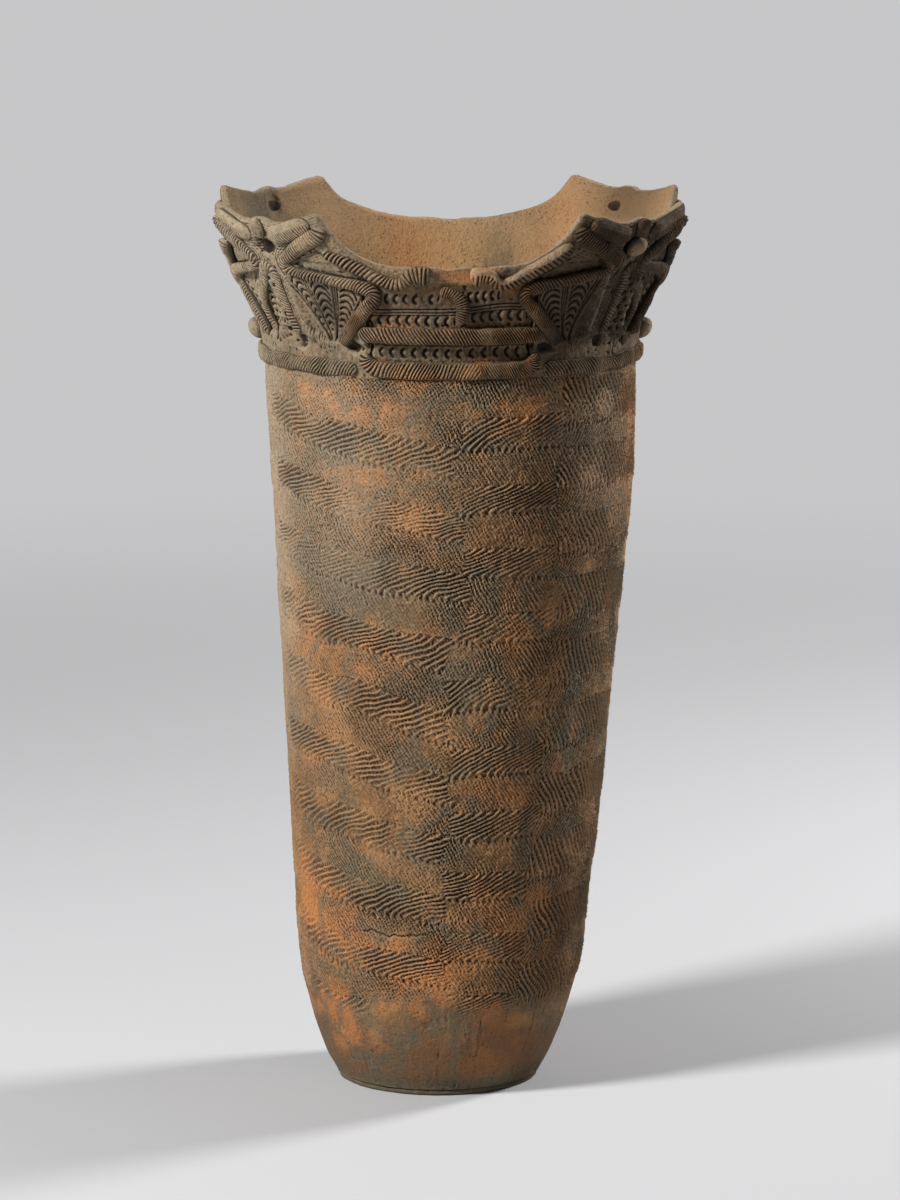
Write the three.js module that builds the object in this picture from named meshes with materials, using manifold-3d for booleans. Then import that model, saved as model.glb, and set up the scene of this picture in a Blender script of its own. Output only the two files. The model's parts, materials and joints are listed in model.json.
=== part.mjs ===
// A tall coil-built earthenware jar with a flaring collar and four fan-shaped rim projections.
// Millimetres, +Z up, the origin on the floor under the middle of the mouth, the front towards -Y.
// A place on the wall is an angle in degrees, counted from the front towards -X, and a height.

import * as THREE from 'three';
import { mergeVertices } from 'three/addons/utils/BufferGeometryUtils.js';
import Module from 'manifold-3d';

const wasm = await Module();
wasm.setup();

// Driving sizes
const JOINT = 0.3;
const SEAMS = [5.3, 75, 145, 215, 285, 355, 425, 495, 568];
const COLLAR_TOP = 656;
const WALL_AT_FOOT = 9.5;
const WALL_AT_RIM = 8.5;
const BASE_EDGE_THICKNESS = 5;
const BASE_THICKNESS = 14;
const BASE_RADIUS = 79.5;

// Radius of the outer face at rising heights
const PROFILE = [
  [0, 79], [6, 80.5], [22, 88.5], [55, 100.5], [100, 111], [154, 115.5], [218, 120.8], [298, 126.6],
  [377, 132.7], [456, 138.7], [534, 143], [568, 144], [590, 146.5], [612, 152.5], [632, 160],
  [656, 170], [680, 177.5], [700, 181],
];
// The hand-built wall leans: sideways shift of its centre at rising heights
const LEAN = [[0, -9.5], [90, -7.5], [250, -3.3], [377, 0], [470, 2.5], [560, 0.5], [600, 0], [700, 0]];

// Rim
const SADDLE_RIM = 654.5;
const PEAK_RIM = 696;
const FAN_RIM = 683.5;
const FAN_KNUCKLE = 4;
const KNUCKLE_SPREAD = 0.16;
// The rim, but for its peaks, and the joint under the fans stand this much higher at the back
const BACK_LIFT = 4.5;
// The back left fan sits this many degrees nearer to the side than the others
const BACK_LEFT_TURN = 2;
// How a saddle climbs to its peaks: the share that rises evenly, and how late the rest rises
const FRONT_SADDLE = { gentle: 0.1, power: 6 };
const BACK_SADDLE = { gentle: 0.5, power: 14 };
const SIDE_SADDLE = { gentle: 0.2, power: 8 };

// Fans: angle of their middle and half their width, and how far the wall swells behind them
const FAN_CENTRE = 51;
const FAN_HALF = 19.5;
const FAN_BULGE = 9;
const BULGE_START = 600;
const SWELL_REACH = 1.4;
const SWELL_HORNS = 0.4;
const SWELL_POWER = 1.3;
const FAN_FOOT_LEVEL = COLLAR_TOP + 2.5;
// Each hole's place on the outer face, its radius, and how far it falls for each millimetre outwards
const HOLES = {
  front_left: [52, 666],
  front_right: [-50.7, 665],
  back_left: [129.5, 669],
  back_right: [-132, 668],
};
const HOLE_RADIUS = 6;
const HOLE_FALL = 0.6;

// Applied clay: gap to the wall, and the radius at which cord routes are laid out
const CORD_GAP = 0.45;
const ROUTE_RADIUS = 163;
const TO_ARC = THREE.MathUtils.degToRad(ROUTE_RADIUS);
const CORD_SIDES = 6;
const BROAD_UNTIL = 0.22;
const DRAWN_END = 0.6;

const RING_COLUMNS = 40;
const COLLAR_COLUMNS = 72;

const clay = (color) => new THREE.MeshStandardMaterial({ color, roughness: 0.92, metalness: 0 });
const bodyClay = clay(0xa8764c);
const heelClay = clay(0x8f5f40);
const collarClay = clay(0xa98662);
const cordClay = clay(0xb08a62);

const jar = new THREE.Group();

// Smooth curve through the points of a table, each point a place and a value
function along(table, place) {
  const last = table.length - 1;
  const x = THREE.MathUtils.clamp(place, table[0][0], table[last][0]);
  let i = 0;
  while (i < last - 1 && x >= table[i + 1][0]) i += 1;
  const slope = (k) => {
    const before = table[Math.max(k - 1, 0)];
    const after = table[Math.min(k + 1, last)];
    return (after[1] - before[1]) / (after[0] - before[0]);
  };
  const step = table[i + 1][0] - table[i][0];
  const t = (x - table[i][0]) / step;
  const rise = t * t * (3 - 2 * t);
  const leaving = t * (1 - t) * (1 - t) * step * slope(i);
  const arriving = t * t * (t - 1) * step * slope(i + 1);
  return table[i][1] * (1 - rise) + table[i + 1][1] * rise + leaving + arriving;
}

// Angle folded into one quarter of the rim, 0 at the front or back and 90 at a side
function quarter(angle) {
  const turn = Math.abs(THREE.MathUtils.euclideanModulo(angle + 180, 360) - 180);
  return turn > 90 ? 180 - turn : turn;
}

const isBack = (angle) => Math.cos(THREE.MathUtils.degToRad(angle)) < 0;

const lift = (angle) => (BACK_LIFT / 2) * (1 - Math.cos(THREE.MathUtils.degToRad(angle)));

// Turn about the axis, in radians, at which the point with an angle lies
function turnOf(angle) {
  const back = THREE.MathUtils.clamp(THREE.MathUtils.euclideanModulo(angle, 360) / 90 - 1, 0, 1);
  return THREE.MathUtils.degToRad(angle - BACK_LEFT_TURN * Math.sin(Math.PI * back));
}

function rim(angle) {
  const even = evenRim(angle);
  const climbed = (even - SADDLE_RIM) / (PEAK_RIM - SADDLE_RIM);
  return even + lift(angle) * (1 - climbed ** 6);
}

// Height of the rim without its lift: four fans with two points each, and the saddles between them
function evenRim(angle) {
  const q = quarter(angle);
  const fromFan = (q - FAN_CENTRE) / FAN_HALF;
  if (Math.abs(fromFan) <= 1) {
    const knuckle = FAN_KNUCKLE * Math.exp(-((fromFan / KNUCKLE_SPREAD) ** 2));
    return FAN_RIM + (PEAK_RIM - FAN_RIM) * fromFan ** 2 + knuckle;
  }
  const saddle = (u, { gentle, power }) => {
    const climb = gentle * u ** 2 + (1 - gentle) * u ** power;
    return SADDLE_RIM + (PEAK_RIM - SADDLE_RIM) * climb;
  };
  if (q > FAN_CENTRE) return saddle((90 - q) / (90 - FAN_CENTRE - FAN_HALF), SIDE_SADDLE);
  return saddle(q / (FAN_CENTRE - FAN_HALF), isBack(angle) ? BACK_SADDLE : FRONT_SADDLE);
}

// Radius of the outer face, swollen behind each fan
function outer(angle, height) {
  const fromFan = (quarter(angle) - FAN_CENTRE) / FAN_HALF;
  const swell = Math.exp(-((fromFan / SWELL_REACH) ** 6)) * (1 + SWELL_HORNS * fromFan ** 2);
  const rise = THREE.MathUtils.clamp((height - BULGE_START) / (PEAK_RIM - BULGE_START), 0, 1);
  return along(PROFILE, height) + FAN_BULGE * swell * rise ** SWELL_POWER;
}

function wall(height) {
  return THREE.MathUtils.mapLinear(height, 0, PEAK_RIM, WALL_AT_FOOT, WALL_AT_RIM);
}

// Point at an angle and a height, a distance out from the outer face
function place(angle, height, out = 0) {
  const turn = turnOf(angle);
  const radius = outer(angle, height) + out;
  const x = along(LEAN, height) - radius * Math.sin(turn);
  return new THREE.Vector3(x, -radius * Math.cos(turn), height);
}

// Moves every vertex of a geometry and merges those that meet
function warp(geometry, move) {
  const bare = geometry.clone();
  bare.deleteAttribute('normal');
  bare.deleteAttribute('uv');
  const spots = bare.getAttribute('position');
  const spot = new THREE.Vector3();
  for (let i = 0; i < spots.count; i += 1) {
    spot.fromBufferAttribute(spots, i);
    const moved = move(spot);
    spots.setXYZ(i, moved.x, moved.y, moved.z);
  }
  return mergeVertices(bare, 1e-3);
}

function add(name, geometry, material) {
  const mesh = new THREE.Mesh(geometry, material);
  mesh.name = name;
  jar.add(mesh);
}

// A course of the wall: a closed loop lathed round, whose radius stands for depth in the wall,
// 1 at the inner face and 2 at the outer
function ring(bottom, top, outerRows, innerRows, columns) {
  const loop = [];
  for (let i = 0; i <= outerRows; i += 1) loop.push(new THREE.Vector2(2, i / outerRows));
  for (let i = 0; i <= innerRows; i += 1) loop.push(new THREE.Vector2(1, 1 - i / innerRows));
  loop.push(new THREE.Vector2(2, 0));
  return warp(new THREE.LatheGeometry(loop, columns), (spot) => {
    const angle = -THREE.MathUtils.radToDeg(Math.atan2(spot.x, spot.z));
    const inward = 2 - Math.hypot(spot.x, spot.z);
    const height = bottom + (top(angle) - bottom) * spot.y;
    return place(angle, height, -inward * wall(height));
  });
}

// Base slab: a thin edge that shows under the wall, and a thicker middle inside the first course
function baseDisc() {
  const middle = outer(0, SEAMS[0]) - wall(0) - JOINT;
  const points = [
    [0, 0], [BASE_RADIUS - 3.5, 0], [BASE_RADIUS - 0.8, 1.2], [BASE_RADIUS, BASE_EDGE_THICKNESS * 0.6],
    [BASE_RADIUS - 0.6, BASE_EDGE_THICKNESS], [middle, BASE_EDGE_THICKNESS],
    [middle - 1, BASE_THICKNESS], [0, BASE_THICKNESS],
  ];
  const slab = new THREE.LatheGeometry(points.map(([x, y]) => new THREE.Vector2(x, y)), RING_COLUMNS);
  return warp(slab, (spot) => new THREE.Vector3(spot.x + LEAN[0][1], -spot.z, spot.y));
}

// Angle between two others at which the rim without its lift passes a level
function rimAngle(level, low, high) {
  let [a, b] = [low, high];
  for (let i = 0; i < 30; i += 1) {
    const middle = (a + b) / 2;
    if (evenRim(middle) < level) a = middle;
    else b = middle;
  }
  return (a + b) / 2;
}

function solid(geometry) {
  const mesh = new wasm.Mesh({
    numProp: 3,
    vertProperties: new Float32Array(geometry.getAttribute('position').array),
    triVerts: new Uint32Array(geometry.getIndex().array),
  });
  return new wasm.Manifold(mesh);
}

function geometryOf(body) {
  const mesh = body.getMesh();
  const geometry = new THREE.BufferGeometry();
  geometry.setAttribute('position', new THREE.BufferAttribute(new Float32Array(mesh.vertProperties), 3));
  geometry.setIndex(new THREE.BufferAttribute(new Uint32Array(mesh.triVerts), 1));
  return geometry;
}

// A fan stands on the collar from foot to foot, and a slanting round hole goes through it
function fan(centre, [holeAngle, holeHeight]) {
  const back = isBack(centre);
  const fromSaddle = (q) => (back ? 180 - q : q);
  const foot = quarter(rimAngle(FAN_FOOT_LEVEL, fromSaddle(0), fromSaddle(FAN_CENTRE - FAN_HALF)));
  const sideFoot = rimAngle(FAN_FOOT_LEVEL, 90, FAN_CENTRE + FAN_HALF);
  const stops = [foot, FAN_CENTRE - FAN_HALF, FAN_CENTRE, FAN_CENTRE + FAN_HALF, sideFoot];
  const steps = [3, 4, 4, 3];
  const angles = [stops[0]];
  steps.forEach((count, k) => {
    for (let i = 1; i <= count; i += 1) angles.push(stops[k] + (stops[k + 1] - stops[k]) * (i / count));
  });
  const real = angles.map((q) => Math.sign(centre) * fromSaddle(q)).sort((a, b) => a - b);
  const columns = real.length - 1;
  const block = warp(new THREE.BoxGeometry(1, 1, 1, columns, 3, 1), (spot) => {
    const angle = real[columns - Math.round((spot.x + 0.5) * columns)];
    const bottom = COLLAR_TOP + lift(angle) + JOINT;
    const height = bottom + (rim(angle) - bottom) * (spot.y + 0.5);
    return place(angle, height, spot.z > 0 ? 0 : -wall(height));
  });
  const drill = new THREE.CylinderGeometry(HOLE_RADIUS, HOLE_RADIUS, 60, 12);
  drill.rotateX(Math.PI / 2);
  const bore = warp(drill, (spot) => {
    const turn = turnOf(holeAngle);
    const radius = outer(holeAngle, holeHeight) + spot.z;
    const x = -radius * Math.sin(turn) + spot.x * Math.cos(turn);
    const y = -radius * Math.cos(turn) - spot.x * Math.sin(turn);
    return new THREE.Vector3(x, y, holeHeight + spot.y - HOLE_FALL * spot.z);
  });
  return geometryOf(solid(block).subtract(solid(bore)));
}

// A cord of clay laid on the wall: flat behind, ridged in front, drawn in at both ends. Its first
// part can be broader than the rest by a share of its width.
function cord({ route, width, proud, steps, broad = 0 }) {
  const spots = route.map(([a, h]) => new THREE.Vector3(-a * TO_ARC, h, 0));
  const line = new THREE.CatmullRomCurve3(spots, false, 'centripetal');
  const widest = Math.sin(Math.PI / 3);
  return warp(new THREE.CylinderGeometry(1, 1, 1, CORD_SIDES, steps), (spot) => {
    const t = spot.y + 0.5;
    const middle = line.getPoint(t);
    const heading = line.getTangent(t);
    const fromEnd = Math.min(t, 1 - t) * line.getLength();
    const drawn = DRAWN_END + (1 - DRAWN_END) * Math.sqrt(Math.min(fromEnd / width, 1));
    const wide = width * (1 + broad * (1 - THREE.MathUtils.smoothstep(t, 0.04, BROAD_UNTIL)));
    const across = (spot.x / widest) * (wide / 2) * drawn;
    const ridge = Math.max(0, (spot.z + 0.5) / 1.5);
    const height = middle.y - heading.x * across;
    const angle = -(middle.x + heading.y * across) / TO_ARC;
    return place(angle, height, CORD_GAP + proud * drawn * ridge);
  });
}

// A rounded boss on the wall, flat behind
function boss(angle, { height, width, tall, proud }) {
  return warp(new THREE.SphereGeometry(1, 12, 8), (spot) => {
    const out = spot.z > 0 ? spot.z * proud : 0;
    return place(angle - (spot.x * width) / 2 / TO_ARC, height + (spot.y * tall) / 2, CORD_GAP + out);
  });
}

// Where the two flanks of a fan lie: cord routes are drawn for the one beside the front saddle
function flank(centre, side) {
  const squeeze = (90 - FAN_CENTRE - FAN_HALF) / (FAN_CENTRE - FAN_HALF);
  return ([q, height]) => {
    const peak = FAN_CENTRE - FAN_HALF;
    const mirrored = q > peak ? 2 * FAN_CENTRE - q : 90 - q * squeeze;
    const folded = side === 'inner' ? q : mirrored;
    return [Math.sign(centre) * (isBack(centre) ? 180 - folded : folded), height];
  };
}

// Base, heel and wall courses
add('base_disc', baseDisc(), heelClay);
for (let k = 0; k < SEAMS.length - 1; k += 1) {
  const bottom = k === 0 ? SEAMS[0] : SEAMS[k] + JOINT / 2;
  const top = SEAMS[k + 1] - JOINT / 2;
  const name = k === 0 ? 'heel_course' : `wall_course_${k}`;
  add(name, ring(bottom, () => top, k === 0 ? 3 : 1, 1, RING_COLUMNS), k === 0 ? heelClay : bodyClay);
}

// Collar and its four fans
const collarBottom = SEAMS[SEAMS.length - 1] + JOINT / 2;
const collarTop = (angle) => Math.min(rim(angle), COLLAR_TOP + lift(angle));
add('collar_wall', ring(collarBottom, collarTop, 6, 2, COLLAR_COLUMNS), collarClay);
const FANS = {
  front_left: FAN_CENTRE,
  front_right: -FAN_CENTRE,
  back_left: 180 - FAN_CENTRE,
  back_right: FAN_CENTRE - 180,
};
for (const [name, centre] of Object.entries(FANS)) add(`fan_${name}`, fan(centre, HOLES[name]), collarClay);

// Cords on the flanks of the fans: a zigzag, a cord along the saddle that ends in a hook, and a roll
const FLANK_CORDS = {
  zigzag_cord: {
    route: [
      [33.5, 675.5], [38, 668.4], [42, 661.2], [44.7, 655.6], [44.6, 650.6], [41.6, 647.2], [35.5, 644.8],
      [28, 641.6], [23.2, 638.8], [20.6, 634.6], [20.7, 629.4], [23.2, 622], [27.4, 610.5], [31, 600.5],
      [33.2, 593],
    ],
    width: 8,
    broad: 0.45,
    proud: 5,
    steps: 18,
  },
  edge_cord: {
    route: [
      [31.5, 664.5], [25, 656], [19, 646.6], [16.2, 642.8], [13.6, 641.7],
      [11.6, 644], [10.4, 647.6], [8.3, 649.9], [5.6, 649],
    ],
    width: 8,
    proud: 5,
    steps: 14,
  },
  rim_roll: { route: [[33.2, 687], [38, 680.5], [43, 675], [47.3, 672.5]], width: 8, proud: 4.5, steps: 7 },
};
for (const [fanName, centre] of Object.entries(FANS)) {
  for (const side of ['inner', 'outer']) {
    for (const [cordName, shape] of Object.entries(FLANK_CORDS)) {
      const route = shape.route.map(flank(centre, side));
      add(`${cordName}_${fanName}_${side}`, cord({ ...shape, route }), cordClay);
    }
  }
}

// Down the middle of each fan: a tongue over the hole, and under it an arch whose legs frame a pitted panel
const ARCH = [
  [10.8, 598], [12.9, 608], [13, 619], [10.4, 629], [6.6, 638.5], [4.6, 645.5],
  [2.2, 649.6], [0.1, 646], [0.4, 636], [0.8, 620], [-1, 598],
];
const TONGUE_FOOT = 672.8;
for (const [fanName, centre] of Object.entries(FANS)) {
  const towardsSide = isBack(centre) ? -Math.sign(centre) : Math.sign(centre);
  const tongue = [[centre, FAN_RIM + 1], [centre, TONGUE_FOOT]];
  add(`tongue_${fanName}`, cord({ route: tongue, width: 8, proud: 5, steps: 3 }), cordClay);
  const legs = ARCH.map(([a, h]) => [centre + towardsSide * a, h]);
  add(`arch_${fanName}`, cord({ route: legs, width: 7, proud: 3.5, steps: 18 }), cordClay);
}

// The two right fans have an oval knob below the tongue, and each side saddle a boss and a round knob
const HOLE_KNOB = { height: 665, width: 12, tall: 14, proud: 8 };
const SIDE_BOSS = { height: 633, width: 24, tall: 22, proud: 8 };
const SIDE_KNOB = { height: 591, width: 17, tall: 17, proud: 9 };
for (const fanName of ['front_right', 'back_right']) {
  add(`knob_${fanName}`, boss(FANS[fanName], HOLE_KNOB), cordClay);
}
for (const [side, angle] of [['left', 90], ['right', -90]]) {
  add(`side_boss_${side}`, boss(angle, SIDE_BOSS), cordClay);
  add(`side_knob_${side}`, boss(angle, SIDE_KNOB), cordClay);
}

// Bands round the foot of the collar, and the S-shaped cord of the front and the back panel
const BAND_END = 25.5;
const LOWER_BAND = { height: 575, width: 11, proud: 5, steps: 20 };
const UPPER_BAND = { height: 601.5, reach: 26.5, width: 11, proud: 4.5, steps: 11 };
const FOOT_BAND = { height: 574.5, from: 31, to: 149, width: 10, proud: 4.5, steps: 26 };
const S_BEND = [[2.6, 636.4], [0.2, 635.6], [-2.2, 631.8], [-3.5, 625], [-3.3, 617.5], [-2.6, 612.3]];

function level(from, to, height, count) {
  const points = [];
  for (let i = 0; i <= count; i += 1) points.push([from + ((to - from) * i) / count, height]);
  return points;
}

// The end of the lower band turns up towards the upper band
function turnedEnd(middle, sign) {
  const bend = [[-0.3, 12.5], [-0.1, 7.6], [1.2, 3.2], [3.9, 0.6]];
  return bend.map(([inward, up]) => [middle + sign * (BAND_END - inward), LOWER_BAND.height + up]);
}

for (const [name, middle] of [['front', 0], ['back', 180]]) {
  const flat = BAND_END - 7.5;
  const lower = [
    ...turnedEnd(middle, -1),
    ...level(middle - flat, middle + flat, LOWER_BAND.height, 8),
    ...turnedEnd(middle, 1).reverse(),
  ];
  add(`lower_band_${name}`, cord({ ...LOWER_BAND, route: lower }), cordClay);
  const upper = level(middle - UPPER_BAND.reach, middle + UPPER_BAND.reach, UPPER_BAND.height, 8);
  add(`upper_band_${name}`, cord({ ...UPPER_BAND, route: upper }), cordClay);
  const bend = S_BEND.map(([a, h]) => [middle + a, h]);
  add(`s_cord_${name}`, cord({ route: bend, width: 9, proud: 5.5, steps: 8 }), cordClay);
}
for (const [name, sign] of [['left', 1], ['right', -1]]) {
  const route = level(sign * FOOT_BAND.from, sign * FOOT_BAND.to, FOOT_BAND.height, 24);
  add(`foot_band_${name}`, cord({ ...FOOT_BAND, route }), cordClay);
}

export default jar;
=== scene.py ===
import functools
import json
import math

import bpy
import numpy as np
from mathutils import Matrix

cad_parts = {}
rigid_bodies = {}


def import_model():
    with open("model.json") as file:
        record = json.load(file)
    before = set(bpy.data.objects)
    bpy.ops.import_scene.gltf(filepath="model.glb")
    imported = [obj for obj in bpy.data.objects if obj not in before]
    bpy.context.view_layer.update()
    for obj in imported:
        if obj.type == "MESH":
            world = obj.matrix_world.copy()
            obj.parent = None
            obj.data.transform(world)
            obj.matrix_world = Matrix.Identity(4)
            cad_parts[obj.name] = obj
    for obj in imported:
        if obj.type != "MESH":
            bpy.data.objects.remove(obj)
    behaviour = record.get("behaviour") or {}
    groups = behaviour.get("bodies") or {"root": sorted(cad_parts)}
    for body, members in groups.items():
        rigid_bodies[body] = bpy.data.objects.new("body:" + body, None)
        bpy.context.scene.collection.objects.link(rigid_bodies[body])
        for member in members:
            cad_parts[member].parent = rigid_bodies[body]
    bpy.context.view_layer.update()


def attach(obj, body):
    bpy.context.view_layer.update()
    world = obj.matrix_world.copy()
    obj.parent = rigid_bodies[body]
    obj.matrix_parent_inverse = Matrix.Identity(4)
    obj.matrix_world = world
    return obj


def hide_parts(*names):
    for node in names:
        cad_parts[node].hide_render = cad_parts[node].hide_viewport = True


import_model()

# Sizes are in millimetres and become metres when a mesh is made. A place on the wall is an angle in
# degrees, counted from the front towards -X, and a height. FINE is the spacing of the surface detail.
FINE = 0.8
SEAMS = [5.3, 75, 145, 215, 285, 355, 425, 495, 568]
COLLAR_TOP = 656
WALL_AT_FOOT, WALL_AT_RIM = 9.5, 8.5
BASE_RADIUS, BASE_EDGE, BASE_THICKNESS = 79.5, 5.0, 14.0
PROFILE = [
    (0, 79), (6, 80.5), (22, 88.5), (55, 100.5), (100, 111), (154, 115.5), (218, 120.8), (298, 126.6),
    (377, 132.7), (456, 138.7), (534, 143), (568, 144), (590, 146.5), (612, 152.5), (632, 160),
    (656, 170), (680, 177.5), (700, 181),
]
LEAN = [(0, -9.5), (90, -7.5), (250, -3.3), (377, 0), (470, 2.5), (560, 0.5), (600, 0), (700, 0)]
SADDLE_RIM, PEAK_RIM, FAN_RIM, FAN_KNUCKLE = 654.5, 696, 683.5, 4
FAN_CENTRE, FAN_HALF, FAN_BULGE, BULGE_START = 51, 19.5, 9, 600
BACK_LIFT = 4.5
BACK_LEFT_TURN = 2
# Millimetres of arc for a degree of the collar, and the radius at which the fans are measured
TO_ARC = math.radians(163)
FAN_RADIUS = 175
FANS = {"front_left": 51, "front_right": -51, "back_left": 129, "back_right": -129}
# Each hole's angle and height on the outer face, its radius, its fall for each millimetre outwards, and
# how much higher the inner mouths of the back ones lie
HOLES = {
    "front_left": (52, 666), "front_right": (-50.7, 665), "back_left": (129.5, 669),
    "back_right": (-132, 668),
}
HOLE_RADIUS, HOLE_FALL, BACK_MOUTH_LIFT = 6.0, 0.6, 1.5


def ease(x, low, high):
    """0 below low, 1 above high, and a smooth rise between them."""
    t = np.clip((np.asarray(x, float) - low) / (high - low), 0, 1)
    return t * t * (3 - 2 * t)


def window(x, a, b, c, d):
    """Rises from 0 at a to 1 at b, and falls from 1 at c to 0 at d."""
    return ease(x, a, b) * (1 - ease(x, c, d))


def bell(x, width):
    return np.exp(-((x / width) ** 2))


def most(*values):
    """The largest of several values at each point."""
    return functools.reduce(np.maximum, values)


def wrapped(angle):
    return (np.asarray(angle, float) + 180) % 360 - 180


# Shape of the jar, as in the solids
def along(table, place):
    xs, ys = np.array(table, float).T
    slope = np.empty_like(xs)
    slope[1:-1] = (ys[2:] - ys[:-2]) / (xs[2:] - xs[:-2])
    slope[0] = (ys[1] - ys[0]) / (xs[1] - xs[0])
    slope[-1] = (ys[-1] - ys[-2]) / (xs[-1] - xs[-2])
    x = np.clip(np.asarray(place, float), xs[0], xs[-1])
    i = np.clip(np.searchsorted(xs, x, side="right") - 1, 0, len(xs) - 2)
    step = xs[i + 1] - xs[i]
    t = (x - xs[i]) / step
    rise = t * t * (3 - 2 * t)
    bend = t * (1 - t) ** 2 * step * slope[i] + t * t * (t - 1) * step * slope[i + 1]
    return ys[i] * (1 - rise) + ys[i + 1] * rise + bend


def folded(angle):
    """Angle folded into a quarter of the rim: 0 at the front or back, 90 at a side."""
    turn = np.abs(wrapped(angle))
    return np.where(turn > 90, 180 - turn, turn)


def is_back(angle):
    return np.cos(np.radians(angle)) < 0


def saddle(u, gentle, power):
    u = np.clip(u, 0, 1)
    return SADDLE_RIM + (PEAK_RIM - SADDLE_RIM) * (gentle * u**2 + (1 - gentle) * u**power)


def lift(angle):
    """How much higher the rim stands here than at the front."""
    return BACK_LIFT / 2 * (1 - np.cos(np.radians(angle)))


def rim(angle):
    q = folded(angle)
    v = (q - FAN_CENTRE) / FAN_HALF
    fan = FAN_RIM + (PEAK_RIM - FAN_RIM) * v**2 + FAN_KNUCKLE * bell(v, 0.16)
    u = q / (FAN_CENTRE - FAN_HALF)
    middle = np.where(is_back(angle), saddle(u, 0.5, 14), saddle(u, 0.1, 6))
    side = saddle((90 - q) / (90 - FAN_CENTRE - FAN_HALF), 0.2, 8)
    even = np.where(np.abs(v) <= 1, fan, np.where(v > 0, side, middle))
    return even + lift(angle) * (1 - ((even - SADDLE_RIM) / (PEAK_RIM - SADDLE_RIM)) ** 6)


def outer(angle, height):
    v = (folded(angle) - FAN_CENTRE) / FAN_HALF
    swell = np.exp(-((v / 1.4) ** 6)) * (1 + 0.4 * v**2)
    rise = np.clip((np.asarray(height, float) - BULGE_START) / (PEAK_RIM - BULGE_START), 0, 1)
    return along(PROFILE, height) + FAN_BULGE * swell * rise**1.3


def wall(height):
    return WALL_AT_FOOT + (WALL_AT_RIM - WALL_AT_FOOT) * np.asarray(height, float) / PEAK_RIM


def turn_of(angle):
    """Turn about the axis, in radians, at which the point with an angle lies."""
    back = np.clip(np.asarray(angle, float) % 360 / 90 - 1, 0, 1)
    return np.radians(angle - BACK_LEFT_TURN * np.sin(np.pi * back))


def place(angle, height, out=0.0):
    turn = turn_of(angle)
    radius = outer(angle, height) + out
    x = along(LEAN, height) - radius * np.sin(turn)
    return np.stack(np.broadcast_arrays(x, -radius * np.cos(turn), np.asarray(height, float)), -1)


def noise(angle, height, around, tall, seed):
    """Smooth noise from -1 to 1, with so many cells round the jar, each so many millimetres tall."""
    rows = int(760 / tall) + 3
    grid = np.random.default_rng(seed).uniform(-1, 1, (around, rows))
    a = (np.asarray(angle, float) / 360 % 1) * around
    b = np.clip(np.asarray(height, float) / tall, 0, rows - 1.001)
    i, j = np.floor(a).astype(int) % around, np.floor(b).astype(int)
    u, v = ease(a - np.floor(a), 0, 1), ease(b - np.floor(b), 0, 1)
    i2 = (i + 1) % around
    low = grid[i, j] * (1 - u) + grid[i2, j] * u
    high = grid[i, j + 1] * (1 - u) + grid[i2, j + 1] * u
    return low * (1 - v) + high * v


def mottled(angle, height, *layers):
    """Sum of layers of noise, each with its strength, then its cells' number and height, and its seed."""
    return sum(layer[0] * noise(angle, height, *layer[1:]) for layer in layers)


# Cord marking. Each strip of the wall, from one angle to the next, was rolled by itself: its hand is
# 1 where the strokes rise to the right, and its bands sit so far up, tilt so much and are so wide.
# The last two numbers are the strokes' slope in degrees and their distance along the band.
STRIPS = [
    (-36, -3, 1, 0, 0.0, 0.44, 24, 7.4),
    (-3, 75, 1, -21, 0.42, 0.46, 27, 7.2),
    (75, 140, -1, 6, 0.0, 0.55, 30, 7.4),
    (140, 215, 1, -10, 0.12, 0.45, 26, 7.4),
    (215, 275, -1, 12, 0.0, 0.52, 35, 7.0),
    (275, 324, -1, 25, 0.0, 0.62, 58, 5.0),
]
BAND = 50.4
BAND_TOP = 538.6


def cells(a, b, share):
    """Thin crests round hollow cells: the print of a twisted cord, whose strands lie across it."""
    crest = 1 - np.abs(np.sin(np.pi * a)) ** 0.9
    strand = 1 - np.abs(np.sin(np.pi * b)) ** 0.8
    return np.maximum(crest, share * strand)


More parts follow.
